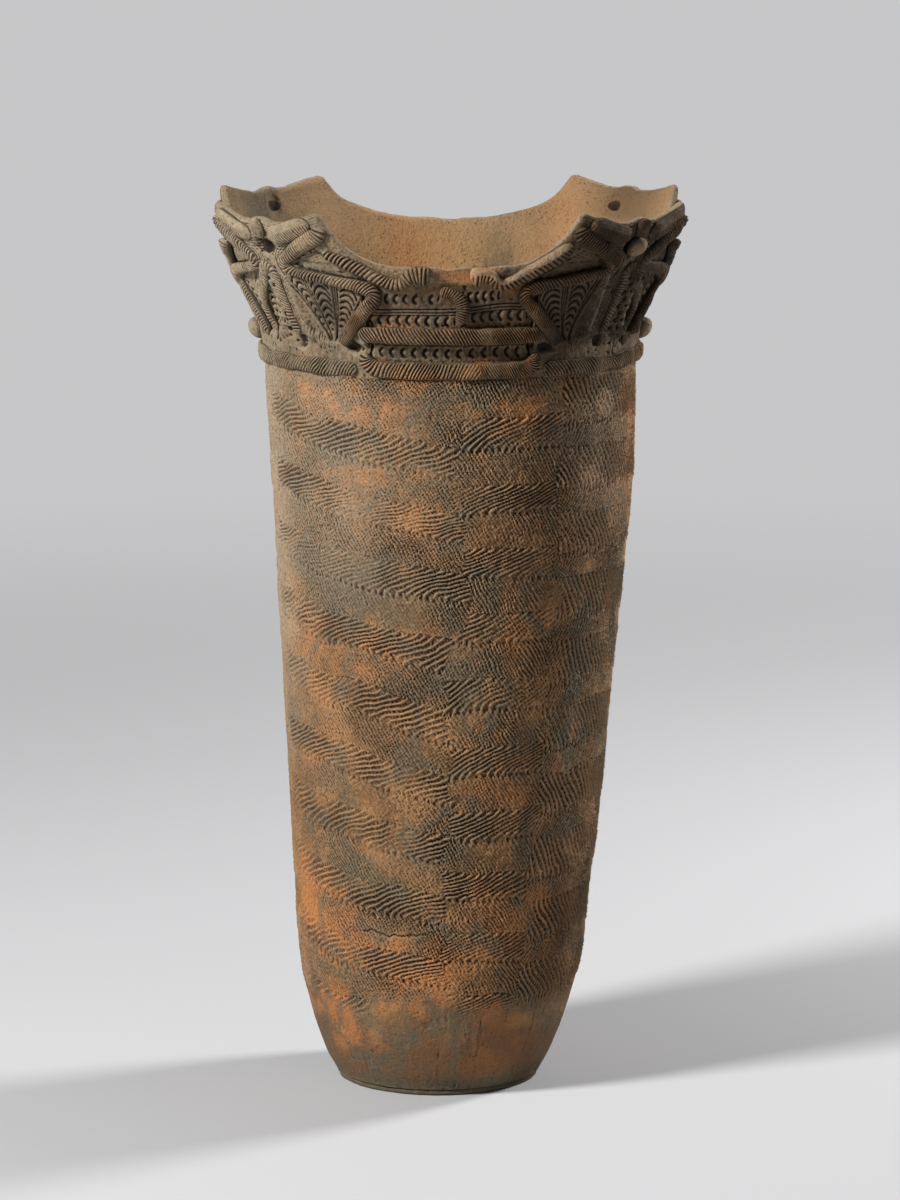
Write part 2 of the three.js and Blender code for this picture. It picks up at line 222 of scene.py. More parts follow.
def marking(angle, height):
    """Height of the cord marking over the smooth wall."""
    turned = angle + mottled(angle, height, (4.5, 14, 44, 5), (2.2, 60, 12, 6))
    wave = mottled(angle, height, (3.2, 9, 130, 1), (2.2, 30, 42, 2))
    radius = along(PROFILE, height)
    total = np.zeros(np.broadcast(angle, height).shape)
    for start, end, hand, up, tilt, share, slope, apart in STRIPS:
        turn = (turned - start) % 360
        inside = turn < (end - start)
        level = (BAND_TOP + up + tilt * turn + wave - height) / BAND
        number, down = np.floor(level), level - np.floor(level)
        count = np.round(2 * np.pi * along(PROFILE, BAND_TOP - number * BAND) / apart)
        round_jar = -angle / 360 * count
        across = np.where(number < 0, -1.9, 1 - 2 * down / share)
        reach = share * BAND / 2 / math.tan(math.radians(slope)) / apart
        steep = reach * (across - 0.17 * across**5) * (1 + 0.3 * noise(angle, height, 11, 90, 7))
        stray = mottled(angle, height, (0.34, 70, 12, 8), (0.12, 260, 4, 12))
        strand = (round_jar * apart * math.cos(math.radians(slope)) * hand + height * 0.5) / 2.5 + 2 * stray
        coarse = bell(np.clip(np.abs(across) - 0.8, 0, None), 0.26)
        faded = 0.5 + mottled(angle, height, (0.5, 21, 30, 10), (0.25, 60, 14, 15))
        coarse = coarse * (0.4 + 0.75 * ease(faded, 0.1, 0.6))
        jitter = mottled(angle, height, (0.9, 90, 8, 16), (0.5, 240, 3.4, 17))
        hook_turn = 1.35 * round_jar - hand * 1.5 * reach + 0.3 * jitter
        hooks = (0.5 + 0.5 * np.cos(2 * np.pi * hook_turn)) ** 0.9
        edge = bell(across - 1.18 + 0.06 * jitter, 0.22) + 0.8 * bell(across + 1.14 + 0.06 * jitter, 0.19)
        mesh = -angle / 360 * count * apart / 3.1
        climb = height / 3.0 + 0.9 * noise(angle, height, 46, 20, 9)
        fine = 1 - coarse * 0.9
        patchy = 0.85 + 0.55 * noise(angle, height, 30, 26, 11)
        long_cells = cells(round_jar - hand * steep + 0.8 * stray, strand + 0.5 * jitter, 0.5)
        up_left, up_right = mesh + 0.6 * hand * climb, mesh - 1.0 * hand * climb
        short_cells = cells(up_left + 0.4 * jitter, up_right - 0.5 * jitter, 0.75)
        shape = 2.6 * coarse * (long_cells - 0.45) + 2.2 * fine * patchy * (short_cells - 0.5)
        shape = shape - 2.2 * edge * hooks * (0.75 + 0.35 * jitter)
        shape = shape * (1.25 if slope > 50 else 1)
        total = np.where(inside, shape, total)
        total = total - 0.3 * bell(np.minimum(turn, 360 - turn) * radius * 0.0175, 2.5)
    worn = 0.9 + mottled(angle, height, (0.4, 12, 70, 3), (0.3, 50, 20, 4))
    turned = wrapped(angle)
    worn = worn * (1 - 0.5 * bell(turned - 80, 17)) * (1 - 0.4 * bell(turned + 88, 10))
    worn = worn * (1 - 0.28 * bell(turned - 38, 24))
    end = 74 + mottled(angle, 0 * height, (9, 40, 900, 13), (5, 110, 900, 14))
    return total * np.clip(worn, 0.3, 1.2) * ease(height - end, -12, 14)


def body_relief(angle, height):
    """Everything that stands over or under the smooth outer face of the body."""
    lumps = mottled(angle, height, (0.9, 8, 120, 21), (0.35, 36, 26, 22))
    grain = mottled(angle, height, (0.34, 460, 1.9, 23), (0.26, 210, 5, 24))
    grain = grain * (0.5 + 0.5 * ease(height, 66, 100))
    wiped = 0.12 * noise(angle, height, 260, 40, 25) * (1 - ease(height, 60, 90))
    tear = 135 + mottled(angle, height, (2.2, 50, 900, 26), (1.3, 190, 900, 28))
    wide = 0.7 + 0.5 * noise(angle, height, 120, 900, 29)
    crack = bell((height - tear) / wide, 1.2) * window(angle, 3, 7, 34, 38)
    dents = -0.5 * ease(noise(angle, height, 120, 9, 27), 0.62, 0.85) * (1 - 0.5 * ease(height, 60, 90))
    return lumps * ease(height, 5, 20) + grain + wiped + dents + marking(angle, height) - 1.3 * crack


def inner_relief(angle, height):
    wiped = mottled(angle, height, (0.15, 22, 3.5, 31), (0.6, 10, 60, 32))
    return wiped * ease(height, 20, 60)


# Routes of the cords on the flank of a fan, as angle and height; the arch counts from the fan's middle
ZIGZAG = [
    (33.5, 675.5), (38, 668.4), (42, 661.2), (44.7, 655.6), (44.6, 650.6), (41.6, 647.2), (35.5, 644.8),
    (28, 641.6), (23.2, 638.8), (20.6, 634.6), (20.7, 629.4), (23.2, 622), (27.4, 610.5), (31, 600.5),
    (33.2, 593),
]
EDGE = [
    (31.5, 664.5), (25, 656), (19, 646.6), (16.2, 642.8), (13.6, 641.7), (11.6, 644), (10.4, 647.6),
    (8.2, 649), (5.2, 647.2),
]
EDGE_WORN = [(29.8, 671), (26, 661.5), (20, 650.5), (16.4, 644.2), *EDGE[4:]]
ROLL = [(33.6, 686.4), (35.6, 684.2), (38.2, 681.6), (42.4, 677.4), (47.2, 673.6)]
RIB_LEFT = [(45.6, 653), (46.8, 640), (47.4, 622), (46.4, 604), (44, 596)]
RIB_RIGHT = [(43.4, 658), (43.2, 643), (43.6, 628), (43.5, 611), (42.6, 601), (40, 594)]
RIDGE = [(46, 601.5), (42, 597), (37, 590)]
ARCH = [
    (10.8, 598), (12.9, 608), (13, 619), (10.4, 629), (6.6, 638.5), (4.6, 645.5), (2.2, 649.6),
    (0.1, 646), (0.4, 636), (0.8, 620), (-1, 598),
]
LEG_IN = [(590, -1.2), (598, -1), (620, 0.8), (636, 0.4), (646, 0.1), (660, 1)]
LEG_OUT = [
    (590, 10), (598, 10.8), (608, 12.9), (619, 13), (629, 10.4), (638.5, 6.6), (645.5, 4.6), (660, 2),
]
HOLLOWS = [(29.3, 591.3, 7, 4), (49.5, 592.5, 6, 5.4), (63.0, 593, 4.5, 5.4), (24.6, 593, 3, 4)]


# Stamps and cuts of the collar
def away(route, q, z):
    """Distance in millimetres from a cord's route."""
    x, y = -np.asarray(q, float) * TO_ARC, np.asarray(z, float)
    best = np.full(np.broadcast(x, y).shape, 1e3)
    for (qa, za), (qb, zb) in zip(route, route[1:]):
        ax, bx = -qa * TO_ARC, -qb * TO_ARC
        length = math.hypot(bx - ax, zb - za)
        ux, uy = (bx - ax) / length, (zb - za) / length
        run = np.clip((x - ax) * ux + (y - za) * uy, 0, length)
        best = np.minimum(best, np.hypot(x - ax - run * ux, y - za - run * uy))
    return best


def cut(distance, width, depth):
    return -depth * bell(distance, width)


def crescents(s, z, row, first, last, step, size=3.3, depth=2.0):
    """A row of stamped crescents, hollow side to the right, each with a small swelling in it."""
    ds = (s - first + step / 2) % step - step / 2
    dz = z - row
    r = np.hypot(ds - 0.9, dz)
    side = ease(-(ds - 0.9) / size, -0.15, 0.5)
    inside = (s > first - step / 2) & (s < last + step / 2)
    swelling = 0.7 * bell(np.hypot(ds - 1.2, dz), 1.5)
    return np.where(inside, cut(r - size, 1.15, depth) * side + swelling, 0)


def scar(angle, z):
    """Where the skin of the front saddle has come off."""
    s = -np.radians(wrapped(angle)) * along(PROFILE, z)
    ragged = noise(angle, z, 200, 5, 42)
    return bell(np.hypot((s - 7 + 2 * ragged) / 15, (z - 649.5 + 1.5 * ragged) / 6.5) ** 2, 1)


def panel(angle, z):
    """The long panels at the front and the back, between the saddle and the lower band."""
    middle = np.where(is_back(angle), 180.0, 0.0)
    s = -np.radians(wrapped(angle - middle)) * along(PROFILE, z)
    drift = 1.4 * noise(angle, z, 24, 40, 41)
    total = crescents(s, z, 630, -13, -12, 7.5)
    total += crescents(s + drift, z + 0.6 * drift, 588.4, -52.5, 53.5, 8.8, 3.2, 2.3)
    for sway, row, first, last, step in (
        (1, 631, -47, -24, 7.5), (-1, 632, 9, 36, 6.4), (1, 614, -60.5, 1.5, 7.6), (-1, 616, 19, 57, 7.4),
    ):
        total += crescents(s + sway * drift, z + drift, row, first, last, step)
    lines = sum(cut(z + drift - 621.6 - k - 0.03 * s, 0.6, 1.0) for k in (-2.6, -0.4, 2.2))
    total += 1.2 * lines * (np.abs(s) < 62)
    hollow = window(z, 604, 609, 637, 649) + window(z, 578, 583, 594, 597)
    return (total - 2.8 * hollow) * (1 - scar(angle, z)) - 2.2 * scar(angle, z)


def flank(angle, z):
    """The flanks of the fans: a triangular field of rays and arched stamps, and the pitted panel."""
    q = folded(angle)
    mirrored = np.where(q > FAN_CENTRE, 2 * FAN_CENTRE - q, q)
    radius = outer(angle, z)
    dx = np.radians(36.6 - mirrored) * radius
    dz = z - 589.0
    top = 637.5 + 0.55 * np.clip(mirrored - 22.5, 0, 30)
    field = (1 - ease(z - top, -2, 2)) * ease(dz, 4, 9)
    total = np.zeros(dx.shape)
    for low, high in ((-29, -17), (-14, 11.5), (19, 40)):
        ray, half = math.radians((low + high) / 2), math.tan(math.radians((high - low) / 2))
        up = dz * math.cos(ray) + dx * math.sin(ray)
        side = dx * math.cos(ray) - dz * math.sin(ray)
        width = np.maximum(up * half * 0.86, 0.4)
        arch = (up + 0.95 * side**2 / width) / 5.7
        stamp = cut((arch % 1 - 0.5) * 5.7, 1.35, 2.0) * ease(width - np.abs(side), 0.0, 1.2)
        total += stamp * ease(up, 11, 17) * ((low > -20) | (wrapped(angle) > 0))
    for ray, offsets in ((-30, (0, 2)), (-15.5, (-1.1, 1.1)), (15.3, (-2.1, 0, 2.1)), (41, (-1, 1))):
        turn = math.radians(ray)
        side = dx * math.cos(turn) - dz * math.sin(turn)
        spread = np.clip(dz / 40, 0.3, 1)
        shown = (ray > -30) | (wrapped(angle) > 0)
        total += shown * sum(cut(side - k * spread, 0.65, 1.5) for k in offsets)
    total = total * field - 2.3 * field * bell((dx - 4) / 24, 1)
    # The sunk face between the zigzag and the cord along the rim, and the lines beside the zigzag
    off = away(ZIGZAG, mirrored, z)
    edge_line = along([(5, 641), (16, 641), (25, 655), (31.5, 666), (40, 680)], mirrored)
    between = ease(off, 2, 5) * ease(edge_line - z, 1, 5) * ease(z - top, 0, 3)
    between = between * (1 - ease(mirrored, 40, 44))
    total -= 2.6 * between
    ahead = window(mirrored, 40, 42.5, 49.5, 51)
    ahead = ahead * window(z, 606, 612, 664, 670)
    total += ahead * sum(cut(off - k, 0.6, 0.9) for k in (6.2, 8.4, 10.6))
    # A rounded rib beside the field, cut across along its far edge
    on_left = wrapped(angle) > 0
    rib = np.where(on_left, away(RIB_LEFT, mirrored, z), away(RIB_RIGHT, mirrored, z))
    spine = np.where(on_left, along([(h, a) for a, h in RIB_LEFT[::-1]], z),
                     along([(h, a) for a, h in RIB_RIGHT[::-1]], z))
    proud = np.where(on_left, 2.8 * bell(rib / 4.2, 1), 4.6 * bell(rib / 6.6, 1))
    total += proud * window(z, 592, 598, 650, 662)
    far_edge = bell(rib - np.where(on_left, 1.5, 6), 2) * ease(mirrored - spine, -0.2, 0.5)
    nicks = 1 - np.abs(np.sin(np.pi * (z + 0.5 * (mirrored - spine) * TO_ARC) / 2.6))
    total -= 1.5 * far_edge * nicks * window(z, 596, 602, 652, 660)
    ridge = bell(away(RIDGE, mirrored, z) / 3.4, 1)
    total += ridge * (2.4 - 1.5 * (1 - np.abs(np.sin(np.pi * mirrored * TO_ARC / 2.5))))
    # The pitted panel between the legs of the arch, and the fine lines that follow them
    v = q - FAN_CENTRE
    inner_leg, outer_leg = along(LEG_IN, z), along(LEG_OUT, z)
    within = ease(v - inner_leg, 1.4, 2.2) * ease(outer_leg - v, 1.4, 2.2) * ease(z, 596, 600)
    within = within * (1 - ease(z, 640, 644))
    s = np.radians(v) * radius
    row = np.floor((z - 598) / 5.6)
    ds = (s + (row % 2) * 3.1 + 1.2 * noise(angle, z, 90, 9, 44)) % 6.2 - 3.1
    dh = (z - 598) % 5.6 - 2.8
    total += within * (cut(np.hypot(ds, dh), 1.5, 2.6) - 0.8)
    beside = np.minimum(np.abs(v - inner_leg + 2.5), np.abs(v - outer_leg - 2.5)) * 2.8
    ribs = np.abs(np.sin(np.pi * (beside / 2.3 + 0.5)))
    near = (1 - ease(beside, 2.0, 3.4)) * window(z, 590, 596, 648, 652)
    return total + near * 0.8 * (ribs - 0.8)


def collar_relief(angle, z):
    """Relief of the collar and its fans."""
    q = folded(angle)
    total = np.where(q < 24.5, panel(angle, z), 0)
    total = total + flank(angle, z) * window(q, 21, 24, 77, 80)
    torn = 1 + mottled(angle, z, (0.45, 120, 7, 49), (0.2, 300, 3, 50))
    for at, height, wide, tall in HOLLOWS:
        side = np.radians(q - at) * 155
        total += -5.2 * np.exp(-((side / wide) ** 2 + ((z - height) / tall) ** 2) ** 1.5 * torn)
    below = rim(angle) - z
    v = (q - FAN_CENTRE) / FAN_HALF
    brow = ease(z, 656, 662) * (1 - ease(np.abs(v), 1.0, 1.25))
    total += brow * 0.25 * np.sin(below * 2.9) * ease(below, 0.5, 3)
    total += brow * sum(cut(below - k, 0.5, 0.9) for k in (15.6, 18)) * ease(np.abs(v), 0.35, 0.5)
    s = np.radians(q - FAN_CENTRE - 1.2) * outer(angle, z)
    total += -5.6 * np.exp(-(((s + 2) / 13) ** 2 + ((z - 666) / 5.6) ** 2) ** 2 * torn)
    stipple = noise(angle, z, 330, 3.2, 55)
    total -= 1.1 * ease(stipple, 0.45, 0.8) * bell(v - 0.35, 0.5) * (1 - ease(z, 650, 660))
    knots = mottled(angle, z, (0.4, 50, 18, 45), (0.3, 240, 4, 46))
    pits = ease(noise(angle, z, 190, 5, 48), 0.6, 0.9) * ease(below, 5, 14)
    knots += 0.22 * noise(angle, z, 520, 1.8, 47) - 0.6 * pits
    return total + knots * (1 - 0.75 * scar(angle, z))


# Colour of the fired surface: smoke is the grey of the fire clouds, glow the orange between them.
# Each patch has an angle, a height, half a width in degrees, half a height and a strength.
SMOKE = [
    (38, 520, 9, 22, 0.95), (60, 470, 13, 55, 0.5), (32, 408, 20, 26, 0.8), (54, 425, 8, 18, 0.85),
    (4, 398, 18, 24, 0.55), (-6, 335, 12, 28, 0.5), (-50, 315, 6, 70, 0.85), (-74, 400, 8, 60, 0.7),
    (45, 252, 8, 12, 0.5), (36, 196, 8, 14, 0.55), (2, 556, 30, 9, 0.45), (-3, 500, 5, 50, 0.4),
    (20, 50, 10, 8, 0.5), (-12, 64, 10, 9, 0.5), (40, 22, 20, 8, 0.6),
    (-30, 190, 6, 30, 0.45), (70, 560, 14, 16, 0.7), (130, 480, 20, 60, 0.7), (170, 300, 25, 60, 0.6),
    (-140, 420, 24, 70, 0.7), (-110, 220, 18, 60, 0.6), (110, 200, 20, 50, 0.5), (-170, 560, 20, 14, 0.5),
]
GLOW = [
    (33, 546, 16, 14, 0.95), (22, 492, 14, 14, 0.6), (12, 455, 10, 12, 0.5), (-24, 540, 10, 14, 0.6),
    (-12, 372, 20, 22, 0.6), (56, 340, 12, 36, 0.6), (28, 348, 12, 18, 0.5), (-20, 265, 16, 28, 0.5),
    (56, 140, 24, 42, 1.0), (12, 112, 30, 26, 0.9), (-28, 150, 20, 44, 0.6), (-80, 500, 9, 80, 0.6),
    (150, 400, 24, 40, 0.6), (-150, 260, 20, 50, 0.6), (100, 330, 20, 60, 0.5), (-120, 540, 24, 20, 0.5),
    (20, 612, 14, 14, 0.7), (-4, 601, 24, 8, 0.8), (0, 576, 27, 8, 0.7), (-20, 628, 8, 18, 0.6),
    (-3, 650, 10, 9, 1.0), (-51, 665, 3, 8, 0.9), (10, 628, 14, 12, 0.4), (50, 66, 13, 28, 0.9),
    (14, 78, 14, 9, 0.7), (-22, 80, 12, 12, 0.5),
]


def patches(table, angle, height):
    total = np.zeros(np.broadcast(angle, height).shape)
    ragged_a = angle + mottled(angle, height, (5, 30, 26, 51), (3, 80, 11, 52))
    ragged_z = height + mottled(angle, height, (10, 26, 30, 53), (7, 90, 10, 54))
    for at, level, wide, tall, strength in table:
        far = np.hypot(wrapped(ragged_a - at) / wide, (ragged_z - level) / tall)
        total = np.maximum(total, strength * (1 - ease(far, 0.55, 1.35)))
    return total


def tints(angle, height, inside):
    """Values that the clay's material reads: smoke, glow, pale, a darkening that is partly darker clay and
    partly painted shade, foot and inside.
    """
    angle, height = np.broadcast_arrays(angle, height)
    turn, q, outside = wrapped(angle), folded(angle), 1 - inside
    glow = patches(GLOW, angle, height) * outside
    smoke = most(patches(SMOKE, angle, height), 0.9 * (1 - ease(height, 5, 24))) * outside
    cloud = most(
        0.55 * ease(noise(angle, height, 9, 70, 61), 0.25, 0.8) * ease(height, 300, 500),
        0.9 * bell(turn - 122, 19) * ease(height, 636, 668),
        0.25 * bell(turn + 128, 12) * ease(height, 672, 690),
        bell(turn + 165, 6.5) * bell(height - 630, 30),
        0.35 * bell(turn - 151, 9),
    )
    smoke = most(smoke * (1 - 0.8 * glow), cloud * inside) * (1 - scar(angle, height))
    warm = most(0.9 * bell(turn + 151, 8), 0.7 * bell(turn - 171, 9))
    warm = warm * np.clip(0.6 + 0.7 * noise(angle, height, 40, 18, 64), 0, 1) * ease(height, 540, 600)
    glow = most(glow, warm * inside, np.clip(1.4 * scar(angle, height), 0, 1) * outside)
    pale = most(
        bell(turn - 78, 20) * ease(height, 200, 420),
        0.5 * bell(turn - 40, 26) * ease(height, 340, 470),
        0.6 * bell(turn + 51, 13) * bell(height - 500, 75),
    )
    pale = most(pale * outside, ease(height, 572, 640) * bell(turn - 62, 42) * (1 - 0.6 * inside))
    panels = (1 - ease(q, 20, 23)) * most(bell((height - 624) / 17, 1), bell((height - 588) / 6, 1))
    fields = bell((q - 36) / 9, 1) * bell((height - 620) / 22, 1)
    # Darkening, partly darker clay and partly painted shade: the right side of the collar and the lower
    # right of the body, the front and back panels and the sunk fields of the flanks where shadow falls, a
    # spot below the rim at -37 degrees, and the inside of the back right fan.
    dusk = most(
        window(-turn, 0, 42, 78, 112) * ease(height, 560, 605),
        0.62 * window(-turn, 24, 56, 74, 112) * (1 - ease(height, 120, 300)),
        most(0.68 * panels, 0.85 * fields) * (height > 568),
        bell((turn + 37) / 9, 1) * bell((height - 657) / 10, 1),
    )
    dusk = most(dusk * outside, 0.95 * bell(turn + 127, 19) * ease(height, 642, 672) * inside)
    ragged = height + mottled(angle, height, (26, 14, 30, 62), (10, 60, 12, 63))
    marks = {"smoke": smoke, "glow": glow, "pale": pale, "dusk": dusk}
    return {**marks, "foot": 1 - ease(ragged, 38, 92), "inside": inside + 0 * angle}


def hollowness(relief, reach):
    """How far each point lies below its neighbours on the grid."""
    padded = np.pad(relief, ((0, 0), (reach, reach)), mode="edge")
    total = np.zeros_like(relief)
    for step in range(-reach, reach + 1):
        shifted = padded[:, reach + step : reach + step + relief.shape[1]]
        for turn in range(-reach, reach + 1):
            total += np.roll(shifted, turn, 0)
    return total / (2 * reach + 1) ** 2 - relief


# Meshes
def strip_map(points, columns):
    """Map of a closed grid: the columns are cut into strips that lie one over another."""
    spread = np.linalg.norm(np.roll(points, -1, 1) - points, axis=2).mean(0)
    up = np.concatenate([[0], np.cumsum(spread)])
    length = np.linalg.norm(np.diff(points, axis=0), axis=2).mean(1).sum()
    strips = max(1, round(math.sqrt(length / up[-1])))
    place_u = np.arange(columns) * strips / columns
    strip = np.floor(place_u + 1e-9)
    left = np.clip(place_u - strip, 0, 1)
    right = np.clip(left + strips / columns, 0, 1)
    v = 0.004 + 0.95 * up / up[-1]
    rows = len(spread)
    flat = np.empty((columns, rows, 4, 2))
    flat[:, :, 0, 0] = flat[:, :, 3, 0] = left[:, None] * 0.998
    flat[:, :, 1, 0] = flat[:, :, 2, 0] = right[:, None] * 0.998
    flat[:, :, 0, 1] = flat[:, :, 1, 1] = (strip[:, None] + v[None, :-1]) / strips
    flat[:, :, 2, 1] = flat[:, :, 3, 1] = (strip[:, None] + v[None, 1:]) / strips
    return flat


def grid_faces(points, ring):
    """Four-sided faces of a grid whose rows close on themselves, and whose columns do if it is a ring."""
    columns, rows = points.shape[:2]
    at = np.arange(columns * rows).reshape(columns, rows)
    here = at if ring else at[:-1]
    there = np.roll(at, -1, 0) if ring else at[1:]
    quads = np.stack([here, there, np.roll(there, -1, 1), np.roll(here, -1, 1)], -1)
    caps = [] if ring else [at[0], at[-1][::-1]]
    return quads, caps, strip_map(points, quads.shape[0])


def make(node, spots, quads, caps, flat, marks, slot, material):
    """A piece that stands for a node: a closed mesh with its map and the values its material reads."""
    spots = spots.reshape(-1, 3) / 1000
    quads, flat = quads.reshape(-1, 4), flat.reshape(-1, 4, 2)
    a, b, c, d = (spots[quads[:, k]] for k in range(4))
    volume = np.einsum("ij,ij->i", a, np.cross(b, c) + np.cross(c, d)).sum()
    if volume < 0:
        quads, flat, caps = quads[:, ::-1], flat[:, ::-1], [cap[::-1] for cap in caps]
    loops = np.concatenate([quads.ravel(), *caps]).astype(np.int32)
    starts = np.arange(len(quads)) * 4
    sizes = [4 * len(quads)]
    corners = [flat.reshape(-1, 2)]
    for cap in caps:
        starts = np.append(starts, sum(sizes))
        sizes.append(len(cap))
        turn = np.arange(len(cap)) * 2 * np.pi / len(cap)
        corners.append(np.stack([0.5 + 0.002 * np.cos(turn), 0.9975 + 0.002 * np.sin(turn)], -1))
    name = f"fired_{node}"
    mesh = bpy.data.meshes.new(name)
    mesh.vertices.add(len(spots))
    mesh.vertices.foreach_set("co", spots.astype(np.float32).ravel())
    mesh.loops.add(len(loops))
    mesh.loops.foreach_set("vertex_index", loops)
    mesh.polygons.add(len(starts))
    mesh.polygons.foreach_set("loop_start", starts.astype(np.int32))
    mesh.update(calc_edges=True)
    mesh.polygons.foreach_set("use_smooth", np.ones(len(starts), bool))
    layer = mesh.uv_layers.new(name="OFBake")
    layer.data.foreach_set("uv", np.concatenate(corners).astype(np.float32).ravel())
    for mark, values in marks.items():
        attribute = mesh.attributes.new(mark, "FLOAT", "POINT")
        attribute.data.foreach_set("value", np.asarray(values, np.float32).ravel())
    mesh.set_sharp_from_angle(angle=math.radians(66))
    mesh.validate()
    mesh.materials.append(material)
    piece = bpy.data.objects.new(name, mesh)
    bpy.context.scene.collection.objects.link(piece)
    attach(piece, "root")
    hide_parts(node)


def upwards(count):
    """Shares of the height for the rows of a face, closer together at its foot and at its top."""
    even = np.linspace(0, 1, count)[1:-1]
    return np.concatenate([[0, 0.03 / count], even, 1 - np.array([0.5, 0.22, 0.07, 0.015]) / count, [1]])


def section(outside, across, inside):
    """Rows of a wall's section, up the outer face, over the top, down the inner face and back."""
    up = upwards(outside)
    over = np.linspace(0, 1, across + 2)[1:-1]
    down = 1 - np.array([0, 0.015, 0.07, 0.22, 0.5, 1, 2, 3.5, 5]) / outside
    down = np.concatenate([down, np.linspace(down[-1], 0, inside)[1:]])
    t = np.concatenate([up, np.ones(across), down, np.zeros(2)])
    f = np.concatenate([0 * up, over, 0 * down + 1, [0.7, 0.3]])
    return t, f, len(up)


RIM_ROUND = 3.9


def worn_rim(angle):
    """The rim with its small dents and lumps, deeper at the worn front saddle."""
    low = mottled(angle, 0 * angle, (0.7, 60, 800, 71), (0.4, 190, 800, 72))
    front = bell(wrapped(angle) / 9, 1) * (noise(angle, 0 * angle, 110, 800, 73) - 0.4)
    soft = 0.6 * rim(angle) + 0.2 * rim(angle - 1.2) + 0.2 * rim(angle + 1.2)
    return soft + 0.9 * low + 1.6 * front


def drawn_in(angle, height):
    """How far the faces of the wall draw in towards each other near the rim."""
    slope = (worn_rim(angle + 0.5) - worn_rim(angle - 0.5)) / TO_ARC
    broad = 1 + 0.35 * bell((wrapped(angle) + 28) / 6, 1)
    reach = RIM_ROUND * np.sqrt(1 + slope**2) * broad
    below = np.clip((worn_rim(angle) - height) / reach, 0, 1)
    return RIM_ROUND * (1 - np.sqrt(1 - (1 - below) ** 2))


def wall_points(angle, height, f, raised, bored=0.0):
    """Points of a wall's section: f is 0 on the outer face, 1 on the inner face and between them on top."""
    thick = wall(height)
    drawn = np.where(height > 500, drawn_in(angle, height), 0)
    calm = 1 - 0.75 * ease(drawn / RIM_ROUND, 0.02, 0.5)
    inward = drawn + f * (thick - 2 * drawn)
    out = np.where(f == 0, raised * calm - bored, 0)
    out += np.where(f == 1, inner_relief(angle, height) * calm + bored, 0)
    return place(angle, height, out - inward)


def wall_marks(angle, height, f, raised, faced, spacing, strength):
    """Marks of a wall's section: paler along the rim, partly worn and partly a painted highlight of its lit
    top, with painted shade in the hollows of the outer face and a painted highlight on its crests.
    """
    marks = tints(angle, height, ease(f, 0.3, 0.8))
    # Painted shade in the hollows of the outer face, and a painted highlight where it stands above its
    # neighbours.
    marks["cavity"] = np.zeros(height.shape)
    reach = max(1, round(1.8 / spacing))
    marks["cavity"][:, :faced] = strength * hollowness(raised[:, :faced], reach)
    # Paler along the rim's top and its rounded margin, partly worn clay and partly a painted highlight of
    # its lit top, with less of the painted shade.
    edge = most(bell(f - 0.5, 0.42), ease(drawn_in(angle, height), 0.5, 2.4)) * ease(height, 640, 654)
    marks["pale"] = most(marks["pale"], 0.85 * edge)
    marks["dusk"] = marks["dusk"] * (1 - 0.85 * edge)
    return marks


def wall_piece(node, bottom, top, spacing, relief, slot, material):
    """A ring of the wall, with relief on its outer face and the wiped marks on its inner face."""
    columns = int(2 * np.pi * along(PROFILE, bottom + 60) / spacing / 8) * 8
    angle = (np.arange(columns) * 360 / columns)[:, None]
    peak = top(angle)
    t, f, faced = section(int((peak.max() - bottom) / spacing), 3, 6)
    height = bottom + (peak - bottom) * t[None, :]
    raised = relief(angle, height)
    points = wall_points(angle, height, f[None, :], raised)
    # How strong the painted shade in the hollows is
    strength = 1.8 if slot == "collar_clay" else 1.4
    marks = wall_marks(angle, height, f[None, :], raised, faced, spacing, strength)
    make(node, points, *grid_faces(points, True), marks, slot, material)


def base_piece(node, slot, material):
    """The slab under the jar, whose thin edge spreads past the wall."""
    middle = float(outer(0, SEAMS[0])) - WALL_AT_FOOT - 0.3
    steps = [
        (BASE_RADIUS - 30, 0), (BASE_RADIUS - 4, 0), (BASE_RADIUS - 2.4, 0.15), (BASE_RADIUS - 1.2, 0.7),
        (BASE_RADIUS - 0.4, 1.6), (BASE_RADIUS, 2.8), (BASE_RADIUS - 0.2, 3.9), (BASE_RADIUS - 0.9, 4.8),
        (BASE_RADIUS - 2.2, BASE_EDGE), (middle + 1, BASE_EDGE), (middle, BASE_EDGE + 0.5),
        (middle - 0.4, BASE_THICKNESS - 1), (middle - 2, BASE_THICKNESS), (20, BASE_THICKNESS + 0.8),
    ]
    turn = (np.arange(600) * 360 / 600)[None, :]
    radius = np.array([s[0] for s in steps], float)[:, None]
    height = np.array([s[1] for s in steps], float)[:, None]
    ragged = mottled(turn, height, (0.5, 40, 900, 81), (0.35, 130, 900, 82)) - 0.5
    radius = radius + ragged * ease(radius, BASE_RADIUS - 5, BASE_RADIUS - 1)
    x = LEAN[0][1] - radius * np.sin(np.radians(turn))
    points = np.stack(np.broadcast_arrays(x, -radius * np.cos(np.radians(turn)), height), -1)
    inside = np.broadcast_to(ease(height, 8, 12), points.shape[:2])
    marks = tints(turn + 0 * height, height + 0 * turn, inside)
    marks["cavity"] = np.zeros(points.shape[:2])
    make(node, points, *grid_faces(points, False), marks, slot, material)


